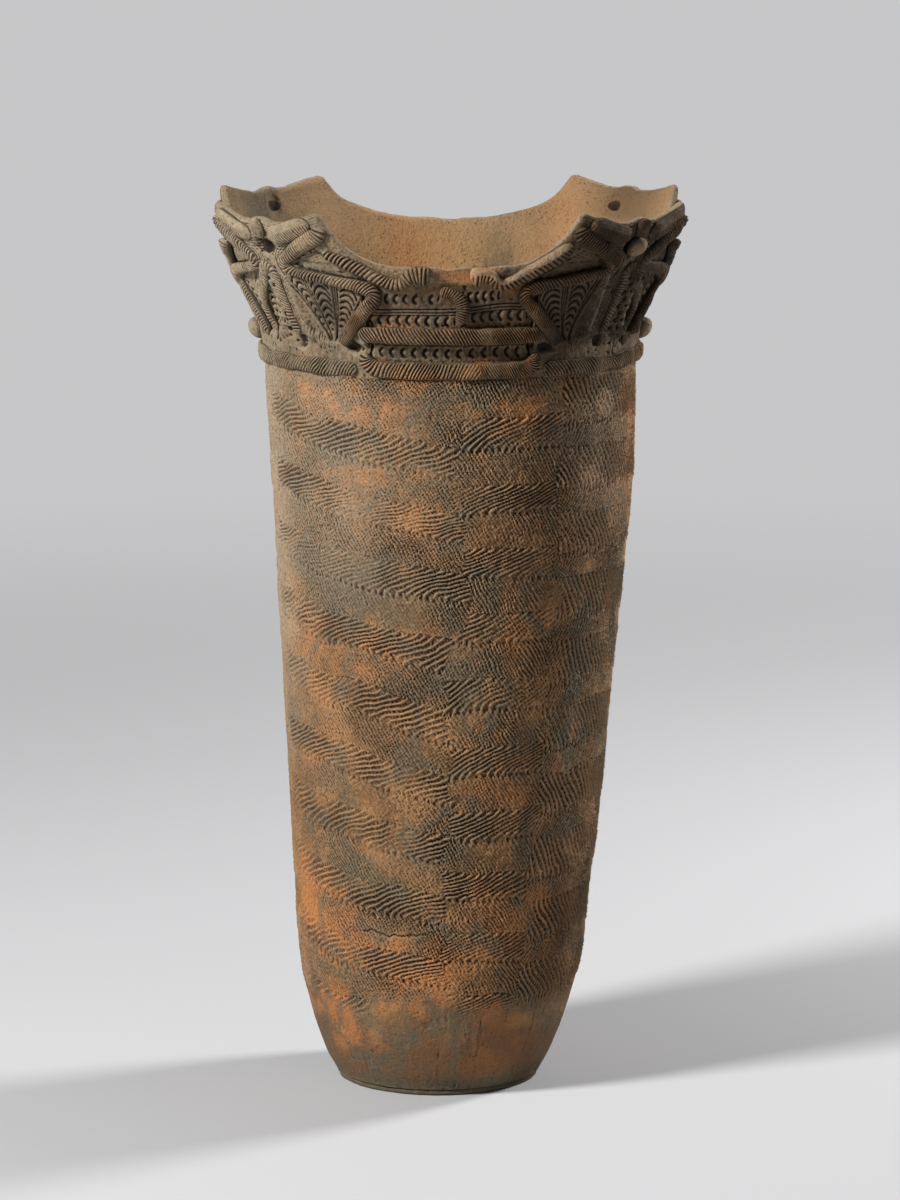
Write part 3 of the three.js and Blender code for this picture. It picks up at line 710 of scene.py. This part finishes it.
def bore(points, first, last):
    """Points, faces and map of the tunnel from one mouth of a hole to the other, narrow half way."""
    count = len(first)
    start, finish = points[first], points[last]
    rings, added, faces, flat = [first], [], [], []
    for k in range(1, 10):
        share = k / 10
        hub = start.mean(0) * (1 - share) + finish.mean(0) * share
        sag = np.array([0, 0, 4.2 * math.sin(math.pi * share)])
        spots = start * (1 - share) + finish * share
        added.append(hub - sag + (spots - hub) * (1 - 0.75 * math.sin(math.pi * share) ** 0.7))
        rings.append(len(points) + (k - 1) * count + np.arange(count))
    for k, (a, b) in enumerate(zip(rings, [*rings[1:], last])):
        faces.append(np.stack([np.roll(a, -1), a, b, np.roll(b, -1)], -1))
        corners = np.empty((count, 4, 2))
        corners[:, :, 0] = (np.arange(count)[:, None] + [1, 0, 0, 1]) * 0.4 / count
        corners[:, :, 1] = 0.96 + 0.003 * (k + np.array([0, 0, 1, 1]))
        flat.append(corners)
    return added, np.concatenate(faces), np.concatenate(flat)


def same_side(quads, lining, first):
    """Whether the tunnel's faces run round their edges against the faces they meet."""
    edges = set()
    rim_spots = set(first.tolist())
    for quad in quads[np.isin(quads, first).sum(1) == 2].tolist():
        for a, b in zip(quad, quad[1:] + quad[:1]):
            if a in rim_spots and b in rim_spots:
                edges.add((a, b))
    a, b = lining[0, 0], lining[0, 1]
    return (b, a) in edges or (a, b) not in edges


def fan_piece(node, centre, hole, spacing, slot, material):
    """A fan of the rim, rounded along its top and pierced by a slanting hole."""
    back = bool(is_back(centre))
    sign = math.copysign(1, centre)
    bore_angle, bore_height = hole
    bore_q = float(folded(bore_angle))
    quarters = np.linspace(0, 90, 9001)
    real = sign * (180 - quarters if back else quarters)
    standing = quarters[worn_rim(real) > COLLAR_TOP + lift(real) + 0.1]
    low, high = standing.min(), standing.max()
    middle = int(np.radians(bore_q - low) * FAN_RADIUS / spacing)
    after = int(np.radians(high - bore_q) * FAN_RADIUS / spacing)
    q = np.concatenate([np.linspace(low, bore_q, middle + 1), np.linspace(bore_q, high, after + 1)[1:]])
    angle = (sign * (180 - q if back else q))[:, None]
    climb = upwards(int(40 / spacing))
    rows = len(climb)
    t = np.concatenate([climb, np.ones(3), climb[::-1]])
    f = np.concatenate([np.zeros(rows), np.linspace(0, 1, 5)[1:-1], np.ones(rows)])
    bottom = COLLAR_TOP + lift(angle) + 0.02
    height = bottom + (np.maximum(worn_rim(angle), bottom + 0.08) - bottom) * t[None, :]
    # Cells round each mouth of the hole are drawn onto a circle, and those inside it are left out
    raised_by = HOLE_FALL * wall(bore_height) + BACK_MOUTH_LIFT * back
    mouth = np.where(f < 0.5, bore_height, bore_height + raised_by)
    row_out = int(np.argmin(np.abs(height[middle, :rows] - mouth[0])))
    row_in = int(np.argmin(np.abs(height[middle, :rows] - mouth[-1])))
    block = int(round(HOLE_RADIUS * 0.9 / spacing))
    row = np.arange(rows)
    dj = np.concatenate([row - row_out, np.full(3, 10 * rows), row[::-1] - row_in])[None, :]
    di = (np.arange(len(q)) - middle)[:, None]
    ring_of = np.maximum(np.abs(di), np.abs(dj)) / block
    scale = math.radians(1) * float(outer(bore_angle, bore_height))
    side, up = (angle - bore_angle) * scale, height - mouth
    pull = 1 - ease(ring_of, 1, 2)
    onto = HOLE_RADIUS * np.maximum(ring_of, 1) / np.maximum(np.hypot(side, up), 1e-6) * pull
    side = side * (1 - pull + onto * np.where((f > 0.5) & back, 1.45, 1))
    up = up * (1 - pull + onto * np.where((f > 0.5) & back, 0.78, 1))
    angle, height = bore_angle + side / scale, mouth + up
    raised = collar_relief(angle, height)
    bored = 2.0 * bell(np.hypot(side, up) - HOLE_RADIUS + 0.5, 2.6)
    points = wall_points(angle, height, f[None, :], raised, bored)
    quads, caps, flat = grid_faces(points, False)
    gone = (ring_of[:-1] <= 1.0001) & (ring_of[1:] <= 1.0001)
    keep = ~(gone & np.roll(gone, -1, 1)).ravel()
    quads, flat = quads.reshape(-1, 4)[keep], flat.reshape(-1, 4, 2)[keep]
    # The tunnel between the two mouths
    steps = range(-block, block)
    loop = [(k, -block) for k in steps] + [(block, k) for k in steps]
    loop += [(-k, block) for k in steps] + [(-block, -k) for k in steps]
    first = np.array([(middle + i) * len(t) + row_out + j for i, j in loop])
    last = np.array([(middle + i + 1) * len(t) - 1 - row_in - j for i, j in loop])
    spots = points.reshape(-1, 3)
    added, lining, lining_map = bore(spots, first, last)
    if not same_side(quads, lining, first):
        lining, lining_map = lining[:, ::-1], lining_map[:, ::-1]
    marks = wall_marks(angle, height, f[None, :], raised, rows, spacing, 1.7)
    # Painted shadow in the wide hollow under the brow, round the outer mouth of the hole.
    arc = np.radians(folded(angle) - FAN_CENTRE - 0.5) * FAN_RADIUS
    shade = 0.9 * np.exp(-((arc / 11) ** 2 + ((height - 665.5) / 4.6) ** 2) ** 2)
    marks["cavity"] += shade * (f[None, :] < 0.5)
    everything = np.concatenate([spots, *added])
    quads, flat = np.concatenate([quads, lining]), np.concatenate([flat, lining_map])
    used = np.unique(np.concatenate([quads.ravel(), *caps]))
    fresh = np.full(len(everything), -1)
    fresh[used] = np.arange(len(used))
    # The tunnel's lining is painted fully dark, a painted shade.
    painted_shade_in_tunnel = {"cavity": 1.0}
    values = {}
    for mark, grid in marks.items():
        lined = np.full(len(everything) - len(spots), painted_shade_in_tunnel.get(mark, 0.0))
        values[mark] = np.concatenate([np.broadcast_to(grid, height.shape).ravel(), lined])[used]
    caps = [fresh[cap] for cap in caps]
    make(node, everything[used], fresh[quads], caps, flat, values, slot, material)


# Applied cords
def spline(route, spacing):
    """Smooth line through the points of a route, evenly spaced, with its headings and its length."""
    spots = np.array([(-a * TO_ARC, h) for a, h in route], float)
    spots = np.vstack([2 * spots[0] - spots[1], spots, 2 * spots[-1] - spots[-2]])
    pieces = []
    share = np.linspace(0, 1, 60, endpoint=False)[:, None]
    for p0, p1, p2, p3 in zip(spots, spots[1:], spots[2:], spots[3:]):
        d0, d1, d2 = (max(math.dist(a, b), 1e-9) ** 0.5 for a, b in ((p0, p1), (p1, p2), (p2, p3)))
        leave = ((p1 - p0) / d0 - (p2 - p0) / (d0 + d1) + (p2 - p1) / d1) * d1
        arrive = ((p2 - p1) / d1 - (p3 - p1) / (d1 + d2) + (p3 - p2) / d2) * d1
        cubic = (2 * p1 - 2 * p2 + leave + arrive) * share**3
        square = (3 * p2 - 3 * p1 - 2 * leave - arrive) * share**2
        pieces.append(cubic + square + leave * share + p1)
    line = np.vstack([*pieces, spots[-2:-1]])
    run = np.concatenate([[0], np.cumsum(np.linalg.norm(np.diff(line, axis=0), axis=1))])
    count = max(8, int(run[-1] / spacing))
    at = np.linspace(0, run[-1], count)
    even = np.stack([np.interp(at, run, line[:, 0]), np.interp(at, run, line[:, 1])], -1)
    heading = np.gradient(even, axis=0)
    heading /= np.linalg.norm(heading, axis=1)[:, None]
    return even, heading, at, run[-1]


def wander(at, period, seed):
    """Smooth noise from -1 to 1 along a line."""
    count = int(at.max() / period) + 4
    values = np.random.default_rng(seed).uniform(-1, 1, count)
    i = np.floor(at / period).astype(int)
    t = ease(at / period - i, 0, 1)
    return values[i] * (1 - t) + values[i + 1] * t


def cord_piece(
    node, route, width, proud, cuts, hand=1, depth=1.3, widths=((0, 1),), square=2.6, brow=None,
):
    """A cord of clay with cuts across it, rounded at both ends and bedded in the wall. The cuts are
    given as rows of a distance along the cord, the cuts' spacing there and their slant; the widths as
    rows of a distance and a share of the width. A brow is cut along its lower half alone, and the depth
    of the fine lines along its upper half is given."""
    seed = 100 + len(bpy.data.objects)
    spacing = 0.36
    even, heading, at, length = spline(route, spacing)
    rows = np.array(cuts, float)
    pitch, lean = (np.interp(at, rows[:, 0], rows[:, k]) for k in (1, 2))
    pitch = pitch * (1 + 0.1 * wander(at, 9, seed + 6))
    wide = np.interp(at, *np.array(widths, float).T)
    half = (width / 2 * wide * (1 + 0.09 * wander(at, 9, seed)))[:, None]
    from_end = np.minimum(at, length - at)[:, None]
    drawn = np.sqrt(np.clip(1 - (1 - np.clip(from_end / (width * 0.55), 0, 1)) ** 2, 0.02, 1))
    turn = np.linspace(0, np.pi, 31)[None, :]
    side = np.concatenate([np.cos(turn), [[-0.9, -0.45, 0, 0.45, 0.9]]], 1)
    lift_up = (1 - np.abs(np.cos(turn)) ** square).clip(0, 1) ** (1 / square)
    lift_up = np.concatenate([lift_up, np.zeros((1, 5))], 1)
    lean = (hand * lean + 0.2 * wander(at, 11, seed + 1))[:, None]
    across = side * half * drawn
    along_it = (np.cumsum(1 / pitch) * (at[1] - at[0]))[:, None]
    phase = along_it + (lean * across + 0.5 * wander(at, 5, seed + 2)[:, None]) / pitch[:, None]
    notch = 1 - np.abs(np.sin(np.pi * phase)) ** 1.25
    fade = (1 - np.abs(side) ** 8) * ease(lift_up, 0.0, 0.4) * ease(from_end, 0.2, 2.0)
    strong = depth * np.clip(0.85 + 0.4 * wander(at, 12, seed + 3), 0.3, 1.3)[:, None]
    carved = strong * notch * fade
    upper = -np.sign(heading[:, 0:1]) * side
    if brow is not None:
        carved = carved * (1 - ease(upper, -0.1, 0.3))
        carved = carved + brow * (bell(upper - 0.32, 0.07) + bell(upper - 0.6, 0.07)) * fade
    swell = proud * (1 + 0.16 * wander(at, 8, seed + 4))[:, None]
    out = np.where(lift_up > 0, swell * drawn**0.8 * lift_up - carved, -0.9)
    height = even[:, 1:2] - heading[:, 0:1] * across
    angle = -(even[:, 0:1] + heading[:, 1:2] * across) / TO_ARC
    grit = 0.26 * noise(angle, height, 500, 2, seed + 5) + 0.4 * noise(angle, height, 160, 6, seed + 7)
    points = place(angle, height, out + grit * ease(lift_up, 0.05, 0.4))
    marks = tints(angle, height, np.zeros(angle.shape))
    # Painted shade round the cord's foot and in its cuts, and a painted highlight along its crest.
    foot = (1 - ease(lift_up, 0.1, 0.75)) * 0.55
    marks["cavity"] = np.maximum(1.1 * carved, foot) - 0.25 * ease(lift_up, 0.6, 1)
    # On the worn edge cord the upper half is painted paler, a painted highlight on its lit top, with less
    # of the painted shade.
    if brow == 0:
        marks["pale"] = np.maximum(marks["pale"], 0.5 * ease(upper, -0.2, 0.4))
        marks["dusk"] = marks["dusk"] * (1 - 0.8 * ease(upper, -0.2, 0.4))
    make(node, points, *grid_faces(points, False), marks, "cord_clay", cord_clay)


def boss_piece(node, angle0, height0, wide, tall, proud, grooves, depth):
    """A rounded boss, with cuts that fan out from its lower edge, or none."""
    rings, turns = 44, 96
    rise = np.linspace(0.03, 1, rings)[:, None]
    turn = (np.arange(turns) * 2 * np.pi / turns)[None, :]
    lift = np.sqrt(np.clip(1 - rise**2.4, 0, 1))
    side, up = rise * np.cos(turn), rise * np.sin(turn)
    fan = np.arctan2(side, up + 1.35) * grooves
    notch = (1 - np.abs(np.sin(np.pi * fan)) ** 0.8) * ease(1 - rise, 0.02, 0.3) if grooves else 0 * up
    out = proud * lift - depth * notch
    angle = angle0 - side * wide / 2 / TO_ARC
    height = height0 + up * tall / 2
    out = out + 0.25 * noise(angle, height, 300, 5, 91)
    under = place(angle[-1:], height[-1:], -0.9)
    points = np.concatenate([place(angle, height, out), under])
    marks = tints(angle, height, np.zeros(angle.shape))
    # Painted shade in the cuts and round the boss's foot.
    marks["cavity"] = 0.8 * notch * depth + 0.5 * (1 - ease(lift, 0, 0.6)) + 0 * up
    # Plain knobs are painted paler, a painted highlight, with less of the painted shade.
    if not grooves:
        marks["dusk"] = marks["dusk"] * 0.35
        marks["pale"] = np.maximum(marks["pale"], 0.55)
    marks = {mark: np.concatenate([grid, grid[-1:]]) for mark, grid in marks.items()}
    make(node, points, *grid_faces(points, False), marks, "cord_clay", cord_clay)


def towards(centre, side):
    """Turns a route drawn for the flank beside the front saddle into the same one on another flank."""
    squeeze = (90 - FAN_CENTRE - FAN_HALF) / (FAN_CENTRE - FAN_HALF)

    def turned(spot):
        q, height = spot
        mirrored = 2 * FAN_CENTRE - q if q > FAN_CENTRE - FAN_HALF else 90 - q * squeeze
        q = q if side == "inner" else mirrored
        return math.copysign(1, centre) * (180 - q if is_back(centre) else q), height

    return turned


# Materials
def add_node(tree, kind, **values):
    """A shader node with its inputs or settings given by name."""
    made = tree.nodes.new("ShaderNode" + kind)
    for key, value in values.items():
        if key in made.inputs:
            made.inputs[key].default_value = value
        else:
            setattr(made, key, value)
    return made


def add_ramp(tree, value, low, high, start=0.0, end=1.0):
    """Smooth change from start to end, where a value goes from low to high."""
    limits = {"From Min": low, "From Max": high, "To Min": start, "To Max": end}
    made = add_node(tree, "MapRange", interpolation_type="SMOOTHSTEP", **limits)
    tree.links.new(value, made.inputs["Value"])
    return made.outputs["Result"]


WITHIN, FOOT = (0.5, 0.29, 0.13), (0.2, 0.1, 0.046)


def clay(name, mid, glow, smoke, pale, dark, rough):
    """Fired clay: fire clouds, mineral grains and pores, with painted shade in the cuts and hollows and
    where shadow falls, and a painted highlight on the crests.
    """
    material = bpy.data.materials.new(name)
    material.use_nodes = True
    tree = material.node_tree
    tree.nodes.clear()
    link = tree.links.new
    node, ramp = functools.partial(add_node, tree), functools.partial(add_ramp, tree)

    def texture(scale, detail, roughness=0.6):
        made = node("TexNoise", Scale=scale, Detail=detail, Roughness=roughness)
        link(spot.outputs["Object"], made.inputs["Vector"])
        return made.outputs["Fac"]

    def times(a, b):
        made = node("Math", operation="MULTIPLY", use_clamp=True)
        link(a, made.inputs[0])
        link(b, made.inputs[1])
        return made.outputs[0]

    def mark(attribute):
        return node("Attribute", attribute_name=attribute).outputs["Fac"]

    def mixed(share, under, over):
        made = node("Mix", data_type="RGBA")
        link(share, made.inputs["Factor"])
        colours = [s for s in made.inputs if s.type == "RGBA"]
        for socket, value in zip(colours, (under, over)):
            if isinstance(value, tuple):
                socket.default_value = (*value, 1)
            else:
                link(value, socket)
        return [s for s in made.outputs if s.type == "RGBA"][0]

    spot = node("TexCoord")
    broad, medium, small, veins = texture(7, 5), texture(38, 6), texture(210, 5), texture(15, 4, 0.55)
    grain, fine = texture(620, 4, 0.7), texture(1500, 2, 0.6)
    pores = node("TexVoronoi", Scale=300.0)
    link(spot.outputs["Object"], pores.inputs["Vector"])
    pit = times(ramp(pores.outputs["Distance"], 0.3, 0.1), ramp(medium, 0.42, 0.56))
    warm_inside = times(mark("inside"), mark("glow"))
    layers = [
        (ramp(mark("foot"), 0, 1, 0, 0.9), FOOT),
        (ramp(broad, 0.55, 0.75, 0, 0.5), glow),
        (ramp(broad, 0.28, 0.44, 0.55, 0), smoke),
        (times(mark("glow"), ramp(medium, 0.25, 0.62, 0.45, 1)), glow),
        (times(ramp(veins, 0.43, 0.5, 0, 0.62), ramp(veins, 0.57, 0.5)), smoke),
        (times(mark("inside"), ramp(broad, 0.1, 0.5, 0.7, 0.95)), WITHIN),
        (times(warm_inside, ramp(medium, 0.25, 0.62, 0.4, 1)), glow),
        (times(mark("smoke"), ramp(medium, 0.3, 0.6, 0.5, 1)), smoke),
        (times(mark("pale"), ramp(small, 0.3, 0.65, 0.45, 0.95)), pale),
        # Painted highlight on the crests
        (ramp(mark("cavity"), -0.05, -0.5, 0, 0.4), pale),
        # Darker clay and painted shade, in the dark colour
        (ramp(mark("dusk"), 0, 1, 0, 0.7), dark),
        (ramp(grain, 0.53, 0.68, 0, 0.62), tuple(c * 0.42 for c in mid)),
        (ramp(fine, 0.38, 0.26, 0, 0.55), pale),
        (ramp(pit, 0, 1, 0, 0.5), dark),
        # Painted shade in the cuts and hollows
        (times(ramp(mark("cavity"), 0.0, 0.7), ramp(small, 0.2, 0.7, 0.75, 0.97)), dark),
    ]
    tone = mixed(ramp(medium, 0.38, 0.62), tuple(c * 0.66 for c in mid), tuple(c * 1.3 for c in mid))
    for share, colour in layers:
        tone = mixed(share, tone, colour)
    shader = node("BsdfPrincipled", **{"Specular IOR Level": 0.22})
    link(tone, shader.inputs["Base Color"])
    link(ramp(small, 0.3, 0.7, rough - 0.07, rough + 0.07), shader.inputs["Roughness"])
    flat_ground = node("Math", operation="SUBTRACT")
    flat_ground.inputs[0].default_value = 1.0
    link(pit, flat_ground.inputs[1])
    normal = None
    for field, strength, distance in (
        (flat_ground.outputs[0], 0.7, 0.001), (grain, 0.9, 0.0022), (fine, 0.6, 0.0006),
        (small, 0.6, 0.003),
    ):
        bump = node("Bump", Strength=strength, Distance=distance)
        link(field, bump.inputs["Height"])
        if normal:
            link(normal, bump.inputs["Normal"])
        normal = bump.outputs["Normal"]
    link(normal, shader.inputs["Normal"])
    link(shader.outputs["BSDF"], node("OutputMaterial").inputs["Surface"])
    return material


BODY = (
    (0.34, 0.175, 0.072), (0.6, 0.235, 0.07), (0.13, 0.12, 0.08), (0.48, 0.37, 0.25),
    (0.045, 0.024, 0.012),
)
body_clay = clay("body_clay", *BODY, 0.86)
base_clay = clay("base_clay", *BODY, 0.8)
collar_clay = clay(
    "collar_clay", (0.23, 0.14, 0.07), (0.54, 0.22, 0.07), (0.12, 0.105, 0.065), (0.42, 0.34, 0.23),
    (0.014, 0.008, 0.005), 0.86,
)
cord_clay = clay(
    "cord_clay", (0.3, 0.175, 0.085), (0.5, 0.23, 0.085), (0.16, 0.13, 0.075), (0.47, 0.38, 0.26),
    (0.014, 0.008, 0.005), 0.84,
)

# The wall, from the base up
base_piece("base_disc", "base_clay", base_clay)
for k in range(len(SEAMS) - 1):
    low, high = SEAMS[k] + 0.01, SEAMS[k + 1] - 0.01
    node = "heel_course" if k == 0 else f"wall_course_{k}"
    own = ("base_clay", base_clay) if k == 0 else ("body_clay", body_clay)
    wall_piece(node, low, lambda angle, high=high: high + 0 * angle, FINE, body_relief, *own)
wall_piece(
    "collar_wall", SEAMS[-1] + 0.01, lambda angle: np.minimum(worn_rim(angle), COLLAR_TOP + lift(angle)),
    FINE * 0.85, collar_relief, "collar_clay", collar_clay,
)
for name, centre in FANS.items():
    fan_piece(f"fan_{name}", centre, HOLES[name], FINE * 0.8, "collar_clay", collar_clay)

# Cords on the flanks of the fans
for name, centre in FANS.items():
    for side in ("inner", "outer"):
        turned = towards(centre, side)
        hand = math.copysign(1, centre) * (1 if side == "inner" else -1) * (-1 if is_back(centre) else 1)
        cord_piece(
            f"zigzag_cord_{name}_{side}",
            [turned(p) for p in [(31.0, 684), (31.6, 679), *ZIGZAG[1:]]], 8.8, 5.4,
            [(0, 2.6, 0.0), (34, 2.3, 0.1), (52, 2.7, 0.7), (104, 2.7, 0.7), (116, 2.0, 0.45)], hand, 1.4,
            [(0, 1.2), (12, 1.45), (30, 1.35), (46, 1.0), (105, 0.95), (122, 1.2)],
        )
        low_cut = (name, side) == ("front_right", "inner")
        cord_piece(
            f"edge_cord_{name}_{side}", [turned(p) for p in (EDGE_WORN if low_cut else EDGE)], 9.4, 5.6,
            [(0, 3.1, 0.35), (60, 3.1, 0.3), (74, 2.6, -0.3)], hand, 1.5,
            [(0, 1.2 if low_cut else 0.8), (8, 1.35 if low_cut else 1), (62, 1), (73, 1.6), (86, 1.95)],
            brow=0.0 if low_cut else None,
        )
        cord_piece(
            f"rim_roll_{name}_{side}", [turned(p) for p in ROLL], 15, 5.0, [(0, 2.1, -0.1)], hand, 1.1,
            brow=0.35,
        )
    outward = math.copysign(1, centre) * (-1 if is_back(centre) else 1)
    legs = [(centre + outward * a, h) for a, h in ARCH]
    cord_piece(f"arch_{name}", legs, 8.6, 3.0, [(0, 2.4, 0.3)], 1, 1.4)
    tongue = [(centre, 687.0), (centre, 672.0)]
    cord_piece(f"tongue_{name}", tongue, 13, 5.2, [(0, 2.6, 1.9)], 1, 1.2)
for name in ("front_right", "back_right"):
    boss_piece(f"knob_{name}", FANS[name], 665, 14, 15, 9, 0, 0)
for name, angle in (("left", 90), ("right", -90)):
    boss_piece(f"side_boss_{name}", angle, 633, 26, 24, 8, 3.4, 1.6)
    boss_piece(f"side_knob_{name}", angle, 591, 17, 17, 9, 0, 0)

# Bands round the foot of the collar and the bent cord of each panel
for name, middle in (("front", 0), ("back", 180)):
    bend = [(-0.3, 12.5), (-0.1, 7.6), (1.2, 3.2), (3.9, 0.6)]
    left = [(middle - 25.5 + a, 575 + h) for a, h in bend]
    right = [(middle + 25.5 - a, 575 + h) for a, h in reversed(bend)]
    flat_run = [(middle + a, 575) for a in np.linspace(-18, 18, 9)]
    route = (left + flat_run + right)[::-1]
    cord_piece(
        f"lower_band_{name}", route, 12.5, 5.2,
        [(0, 3.1, 0.5), (104, 3.1, 0.6), (106, 2.2, -0.7), (170, 2.2, -0.7)], 1, 1.6, square=3,
    )
    route = [(middle - a, 601.5) for a in np.linspace(-27, 27, 9)]
    cord_piece(
        f"upper_band_{name}", route, 12.5, 4.8, [(0, 3.0, -0.6), (85, 3.0, -0.7), (110, 2.2, -0.7)], 1,
        1.5, square=3,
    )
    bend = [(2.6, 636.4), (0.2, 635.6), (-2.2, 631.8), (-3.5, 625), (-3.3, 617.5), (-2.6, 611)]
    cord_piece(f"s_cord_{name}", [(middle + a, h) for a, h in bend], 9.6, 5.8, [(0, 1.9, 0.1)], 1, 1.2)
for name, sign in (("left", 1), ("right", -1)):
    route = [(sign * a, 574.5) for a in np.linspace(28.8, 151.2, 25)]
    if sign > 0:
        route = route[::-1]
    cord_piece(
        f"foot_band_{name}", route, 12, 4.4, [(0, 3.2, 0.9)], sign, 1.5,
        [(26 * k, 1 + 0.14 * (-1) ** k) for k in range(15)], square=2.8,
    )

# Camera at the photograph's angle, floor and plain soft light. The focal length is in heights of the
# picture.
FOCAL_LENGTH = 5373 / 1200
CAMERA_FALL = 9.652
GROUND, FAR = (0.56, 0.56, 0.57), (0.57, 0.57, 0.58)


def place_object(name, data, location, rotation=(0, 0, 0)):
    body = bpy.data.objects.new(name, data)
    body.location = location
    body.rotation_euler = rotation
    bpy.context.scene.collection.objects.link(body)
    return body


def blend_seen(tree, near, far, share=None):
    """Far in place of near, times the share, where a ray comes from the camera, a mirror or a glass."""
    path = add_node(tree, "LightPath")
    total = path.outputs["Is Camera Ray"]
    for other in ("Is Glossy Ray", "Is Transmission Ray"):
        add = add_node(tree, "Math", use_clamp=True)
        tree.links.new(total, add.inputs[0])
        tree.links.new(path.outputs[other], add.inputs[1])
        total = add.outputs[0]
    if share:
        both = add_node(tree, "Math", operation="MULTIPLY")
        tree.links.new(share, both.inputs[0])
        tree.links.new(total, both.inputs[1])
        total = both.outputs[0]
    mix = add_node(tree, "MixShader")
    tree.links.new(total, mix.inputs[0])
    tree.links.new(near, mix.inputs[1])
    tree.links.new(far, mix.inputs[2])
    return mix.outputs[0]


def floor():
    """A wide round floor, whose far part looks as pale and even as the world behind it."""
    turn = np.arange(96) * np.pi / 48
    mesh = bpy.data.meshes.new("floor")
    mesh.from_pydata([(40 * math.cos(a), 40 * math.sin(a), 0) for a in turn], [], [tuple(range(96))])
    paper = bpy.data.materials.new("studio_paper")
    paper.use_nodes = True
    tree = paper.node_tree
    shader = tree.nodes["Principled BSDF"]
    for key, value in (("Base Color", (*GROUND, 1)), ("Roughness", 0.9), ("Specular IOR Level", 0.2)):
        shader.inputs[key].default_value = value
    length = add_node(tree, "VectorMath", operation="LENGTH")
    tree.links.new(add_node(tree, "TexCoord").outputs["Object"], length.inputs[0])
    share = add_ramp(tree, length.outputs["Value"], 0.5, 3.2)
    glow = add_node(tree, "Emission", Color=(*FAR, 1))
    surface = blend_seen(tree, shader.outputs[0], glow.outputs[0], share)
    tree.links.new(surface, tree.nodes["Material Output"].inputs["Surface"])
    mesh.materials.append(paper)
    place_object("floor", mesh, (0, 0, 0))


def lamp(name, location, aim, size, power):
    light = bpy.data.lights.new(name, "AREA")
    light.shape = "DISK"
    light.size = size
    light.energy = power
    ray = np.array(aim, float) - np.array(location, float)
    flat = math.hypot(ray[0], ray[1])
    rotation = (math.atan2(flat, -ray[2]), 0, math.atan2(ray[1], ray[0]) - math.pi / 2)
    place_object(name, light, location, rotation)


camera = bpy.data.cameras.new("camera")
camera.sensor_fit = "VERTICAL"
camera.sensor_height = 36
camera.lens = FOCAL_LENGTH * 36
camera.clip_end = 50
tilt = (math.radians(90 - CAMERA_FALL), 0, 0)
bpy.context.scene.camera = place_object("camera", camera, (0, -4.1277, 1.07935), tilt)
floor()
lamp("key", (-2.45, -1.7, 2.3), (0, 0, 0.4), 0.7, 165)
lamp("fill", (2.6, -2.6, 1.3), (0, 0, 0.35), 2.2, 1)
lamp("edge", (2.1, 1.15, 1.6), (0, 0, 0.5), 0.6, 74)
world = bpy.data.worlds.new("studio")
world.use_nodes = True
tree = world.node_tree
light = tree.nodes["Background"]
light.inputs["Color"].default_value = (1, 1, 1, 1)
light.inputs["Strength"].default_value = 0.085
far = add_node(tree, "Background", Color=(*FAR, 1))
surface = blend_seen(tree, light.outputs[0], far.outputs[0])
tree.links.new(surface, tree.nodes["World Output"].inputs["Surface"])
bpy.context.scene.world = world
bpy.context.scene.view_settings.view_transform = "Standard"
